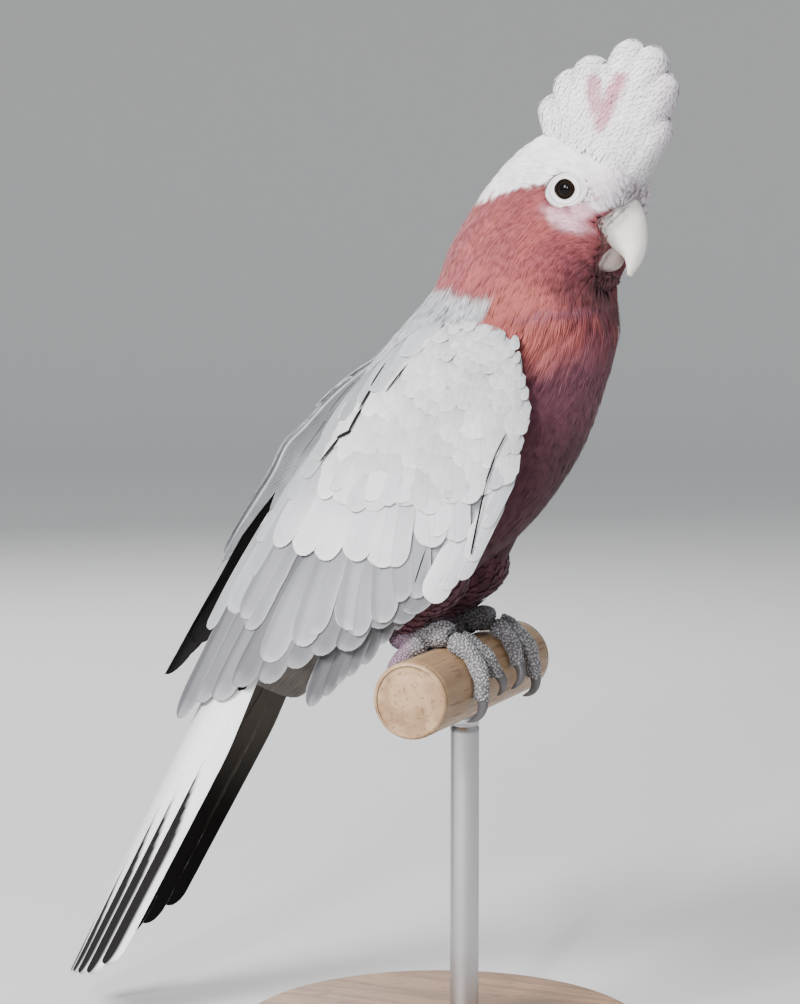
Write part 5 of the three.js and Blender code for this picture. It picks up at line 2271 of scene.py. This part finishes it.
@dataclass
class Tail:
    """Twelve tail feathers over the arch, each pale outside and black inside towards its end."""

    markings: Markings
    form: TailForm = field(default_factory=TailForm)
    width: float = 11.5
    feathers: int = 12
    ink_from: tuple = ((0, 0.66), (0.25, 0.62), (0.42, 0.50), (0.58, 0.36), (0.75, 0.30), (0.92, 0.25))

    def build(self, firm: Finish) -> None:
        """Makes the tail."""
        rng = seeded(90)
        k, each = np.arange(self.feathers) + 0.5, (self.feathers, 1)
        share = 2 * k / self.feathers - 1
        from_middle = np.abs(share)
        root_b = self.form.reach * share * self.form.root_crowding
        tip_b = self.form.reach * share * self.form.tip_crowding
        roots = beside(0.01, root_b)
        tips = beside(along(self.form.ends, k), tip_b)
        depth = -0.35 - 1.0 * from_middle
        growth = Growth.between(
            self.form, roots, tips, np.full(self.feathers, self.width), sunk=depth, risen=depth,
            camber=0.55, thick=0.3, ragged=0.01,
        )
        net = Net.blade(rows=26, tip_rows=6, columns=21)
        plume = grown(self.form, net, growth, rng)
        s, outside = plume.s, plume.u * np.sign(share)[:, None]
        start = pairs(self.ink_from, from_middle)[:, None] + 0.02 * rng.normal(size=each)
        reach = -0.75 + 1.30 * smooth(start, start + 0.42, s)
        ink = smooth(reach + 0.11, reach - 0.11, outside) * smooth(start, start + 0.04, s)
        ink = np.maximum(ink, smooth(0.95, 1.0, s) * 0.6)
        below = smooth(0.2, 0.62, s + 0.1 * rng.normal(size=each))
        colour = painted((0.86, 0.88, 0.90), (
            ((0.48, 0.48, 0.50), smooth(0.75, 0.2, from_middle)[:, None] * 0.8),
            (self.markings.black, ink),
            (mixed(self.markings.umber, self.markings.black, below), plume.under),
        ))
        sheaf = Sheaf()
        spread(sheaf, net, plume, colour, cells=4)
        finished(sheaf, "tail_feathers", [firm], ["tail"])


# ---- stand and studio


def lathe(profile: Sequence[tuple], around: int) -> Array:
    """Rings of a solid turned round Z, from the radius and height of each ring."""
    radius, height = np.array(profile, float).T[..., None]
    angle = circle(around)
    return beside(radius * np.cos(angle), radius * np.sin(angle), height)


@dataclass
class Stand:
    """The display stand: a round wooden perch on a steel rod in a turned wooden base."""

    perch_radius: float = 13.0
    perch_length: float = 104.0
    rod_radius: float = 5.0
    base_radius: float = 72.0
    base_height: float = 10.0
    base_x: float = -8.0
    around: int = 96
    chamfer: float = 1.5

    def build(self, perch: Finish, base: Finish, steel: Finish) -> None:
        """Makes the three pieces of the stand.

        Args:
            perch: The perch's material.
            base: The base's material.
            steel: The rod's material.
        """
        middle = (self.base_x, 0, -PERCH_TOP)
        across = lathe(self.perch_profile(), self.around)[..., [1, 2, 0]]
        parts = (
            ("perch_turned", across + [0, 0, -self.perch_radius], perch, Slot.PERCH, "stand_perch"),
            ("base_turned", lathe(self.base_profile(), self.around) + middle, base, Slot.BASE, "stand_base"),
            ("rod_brushed", lathe(self.rod_profile(), self.around) + [0, 0, -PERCH_TOP], steel, Slot.ROD,
             "stand_rod"),
        )
        for name, rings, material, slot, node in parts:
            finished(Sheaf.of(*tube_mesh(rings), (1, 1, 1)), name, [material], [node])

    def perch_profile(self) -> list[tuple[float, float]]:
        """The perch, with softened edges and a shallow hollow in each end."""
        half, r, c = self.perch_length / 2, self.perch_radius, self.chamfer
        cap = [(2.0, half - 0.15), (r - 4.5, half - 0.15), (r - 3.6, half - 0.6), (r - 2.4, half)]
        bend = np.linspace(0, 1.57, 6)[::-1]
        end = cap + [(r - c * (1 - math.sin(t)), half - c * (1 - math.cos(t))) for t in bend]
        side = [(r, y) for y in np.linspace(half - 2, 2 - half, 40)]
        return end + side + [(a, -b) for a, b in end[::-1]]

    def base_profile(self) -> list[tuple[float, float]]:
        """The base, with a rounded rim and a shallow bead."""
        r, h = self.base_radius, self.base_height
        low = [(1, 0), (r - 2.0, 0), (r - 0.4, 0.5), (r, 1.5), (r, h * 0.45), (r - 0.2, h * 0.5)]
        groove = [(r - 1.2, h * 0.55), (r - 1.2, h * 0.62), (r - 0.3, h * 0.68)]
        rim = [(r - 0.3, h - 2.2), (r - 0.9, h - 0.9), (r - 2.2, h - 0.2), (r - 4, h)]
        return low + groove + rim + [(8, h), (7.5, h + 0.15), (5.2, h + 0.15)]

    def rod_profile(self) -> list[tuple[float, float]]:
        """The rod, with a groove under the perch."""
        r, foot, top = self.rod_radius, self.base_height + 0.3, PERCH_TOP - 2 * self.perch_radius
        shaft = [(r, y) for y in (foot, foot + 1.0, *np.linspace(foot + 2, top - 6, 24), top - 4.2)]
        return shaft + [(r - 0.5, top - 3.9), (r - 0.5, top - 3.3), (r, top - 3.0), (r, top + 1.5)]


@dataclass
class StudioSet:
    """The floor, the sky light, the lamps and the camera."""

    target: tuple = (-0.02, 0, 0.25)
    camera_at: tuple = (0.3499, -0.9259, 0.1519)
    azimuth: float = 22.0
    elevation: float = 6.0
    lens: float = 103.93
    sky: float = 0.82
    sky_tint: tuple = (0.93, 0.96, 1, 1)
    paper_radius: float = 3.4
    paper_bend: float = 1.1
    paper_height: float = 2.6
    paper_around: int = 96
    lamps: tuple = (
        # name, place, size, power and tint
        ("key", (-0.45, -1.15, 0.95), 0.45, 44, (1, 0.985, 0.96)),
        ("flash", (0.12, -1.10, 0.62), 0.07, 8.5, (1, 1, 1)),
        ("rim", (-0.7, 0.9, 0.9), 0.5, 16, (1, 1, 1)),
    )

    @staticmethod
    def added(name: str, data: Any, at: Sequence[float], back: Vector) -> bpy.types.Object:
        """Adds a lamp or camera that looks away from a direction.

        Args:
            name: Its name.
            data: Its data.
            at: Its place.
            back: The direction behind it.

        Returns:
            The new object.
        """
        made = bpy.data.objects.new(name, data)
        made.location = at
        made.rotation_euler = back.to_track_quat("Z", "Y").to_euler()
        bpy.context.scene.collection.objects.link(made)
        return made

    def build(self, paper: Finish) -> None:
        """Makes the set."""
        r, c = self.paper_radius, self.paper_bend
        bend = np.linspace(0, math.pi / 2, 16)
        curve = [(r - c + c * math.sin(t), c - c * math.cos(t)) for t in bend]
        profile = [(0.02, 0.0), (1.0, 0.0), *curve, (r, self.paper_height)]
        points = lathe(profile, self.paper_around).reshape(-1, 3)
        faces = grid_faces(len(profile), self.paper_around, True).tolist()
        faces.append(list(range(self.paper_around)))
        mesh = bpy.data.meshes.new("studio_floor")
        mesh.from_pydata(points.tolist(), [], faces)
        mesh.polygons.foreach_set("use_smooth", [True] * len(faces))
        mesh.materials.append(paper)
        floor = bpy.data.objects.new("studio_floor", mesh)
        bpy.context.scene.collection.objects.link(floor)
        world = bpy.data.worlds.new("studio_sky")
        world.use_nodes = True
        ground = world.node_tree.nodes["Background"]
        ground.inputs["Color"].default_value = self.sky_tint
        ground.inputs["Strength"].default_value = self.sky
        bpy.context.scene.world = world
        for name, at, size, power, tint in self.lamps:
            light = bpy.data.lights.new(name, "AREA")
            light.size, light.energy, light.color = size, power, tint
            self.added(name, light, at, Vector(at) - Vector(self.target))
        self.view()

    def view(self) -> None:
        """Makes the camera."""
        turn, tilt = math.radians(self.azimuth), math.radians(self.elevation)
        back = (math.sin(turn) * math.cos(tilt), -math.cos(turn) * math.cos(tilt), math.sin(tilt))
        lens = bpy.data.cameras.new("camera")
        lens.lens, lens.sensor_width, lens.clip_end = self.lens, 36.0, 20.0
        x, y, z = self.camera_at
        camera = self.added("camera", lens, (x, y, PERCH_TOP * MM + z), Vector(back))
        bpy.context.scene.camera = camera


def main() -> None:
    """Builds the whole model in order."""
    logging.basicConfig(level=logging.INFO, format="%(message)s")
    StudioSet().build(Studio().material())
    markings, body = Markings(), BodyForm()
    soft, firm = SoftPlumage().material(), FirmPlumage().material()
    legs = [Leg(side) for side in Side]
    sockets = [EyeSocket(side) for side in Side]
    wings = [Wing(side, markings) for side in Side]
    foot = BareSkin("foot_skin_finish", 1100.0, 0.0002).material()
    ring = BareSkin("eye_ring_skin", 2600.0, 0.00006, 0.5).material()
    Skin(body, markings, legs, sockets, wings).build(soft, foot, ring)
    eye = EyeGloss().material()
    for socket in sockets:
        socket.eyeball(eye)
    Bill().build(Horn("bill_horn_finish", (0.90, 0.87, 0.83), (0.74, 0.69, 0.63), 0.38).material())
    claw = Horn("claw_horn_finish", (0.13, 0.125, 0.13), (0.045, 0.04, 0.045), 0.4).material()
    for leg in legs:
        leg.claws(claw)
        leg.thigh_feathers(soft, markings)
    Coat(body, markings).build(soft)
    Crest(markings).build(soft)
    for wing in wings:
        wing.build(firm)
    Tail(markings).build(firm)
    perch = Wood("perch_wood_finish", (0.42, 0.27, 0.15), (0.24, 0.13, 0.065), (1.0, 0.08, 1.0))
    base = Wood("base_wood_finish", (0.30, 0.17, 0.09), (0.15, 0.075, 0.035), (0.12, 1.0, 1.0))
    Stand().build(perch.material(), base.material(), BrushedSteel().material())


if __name__ == "__main__":
    main()
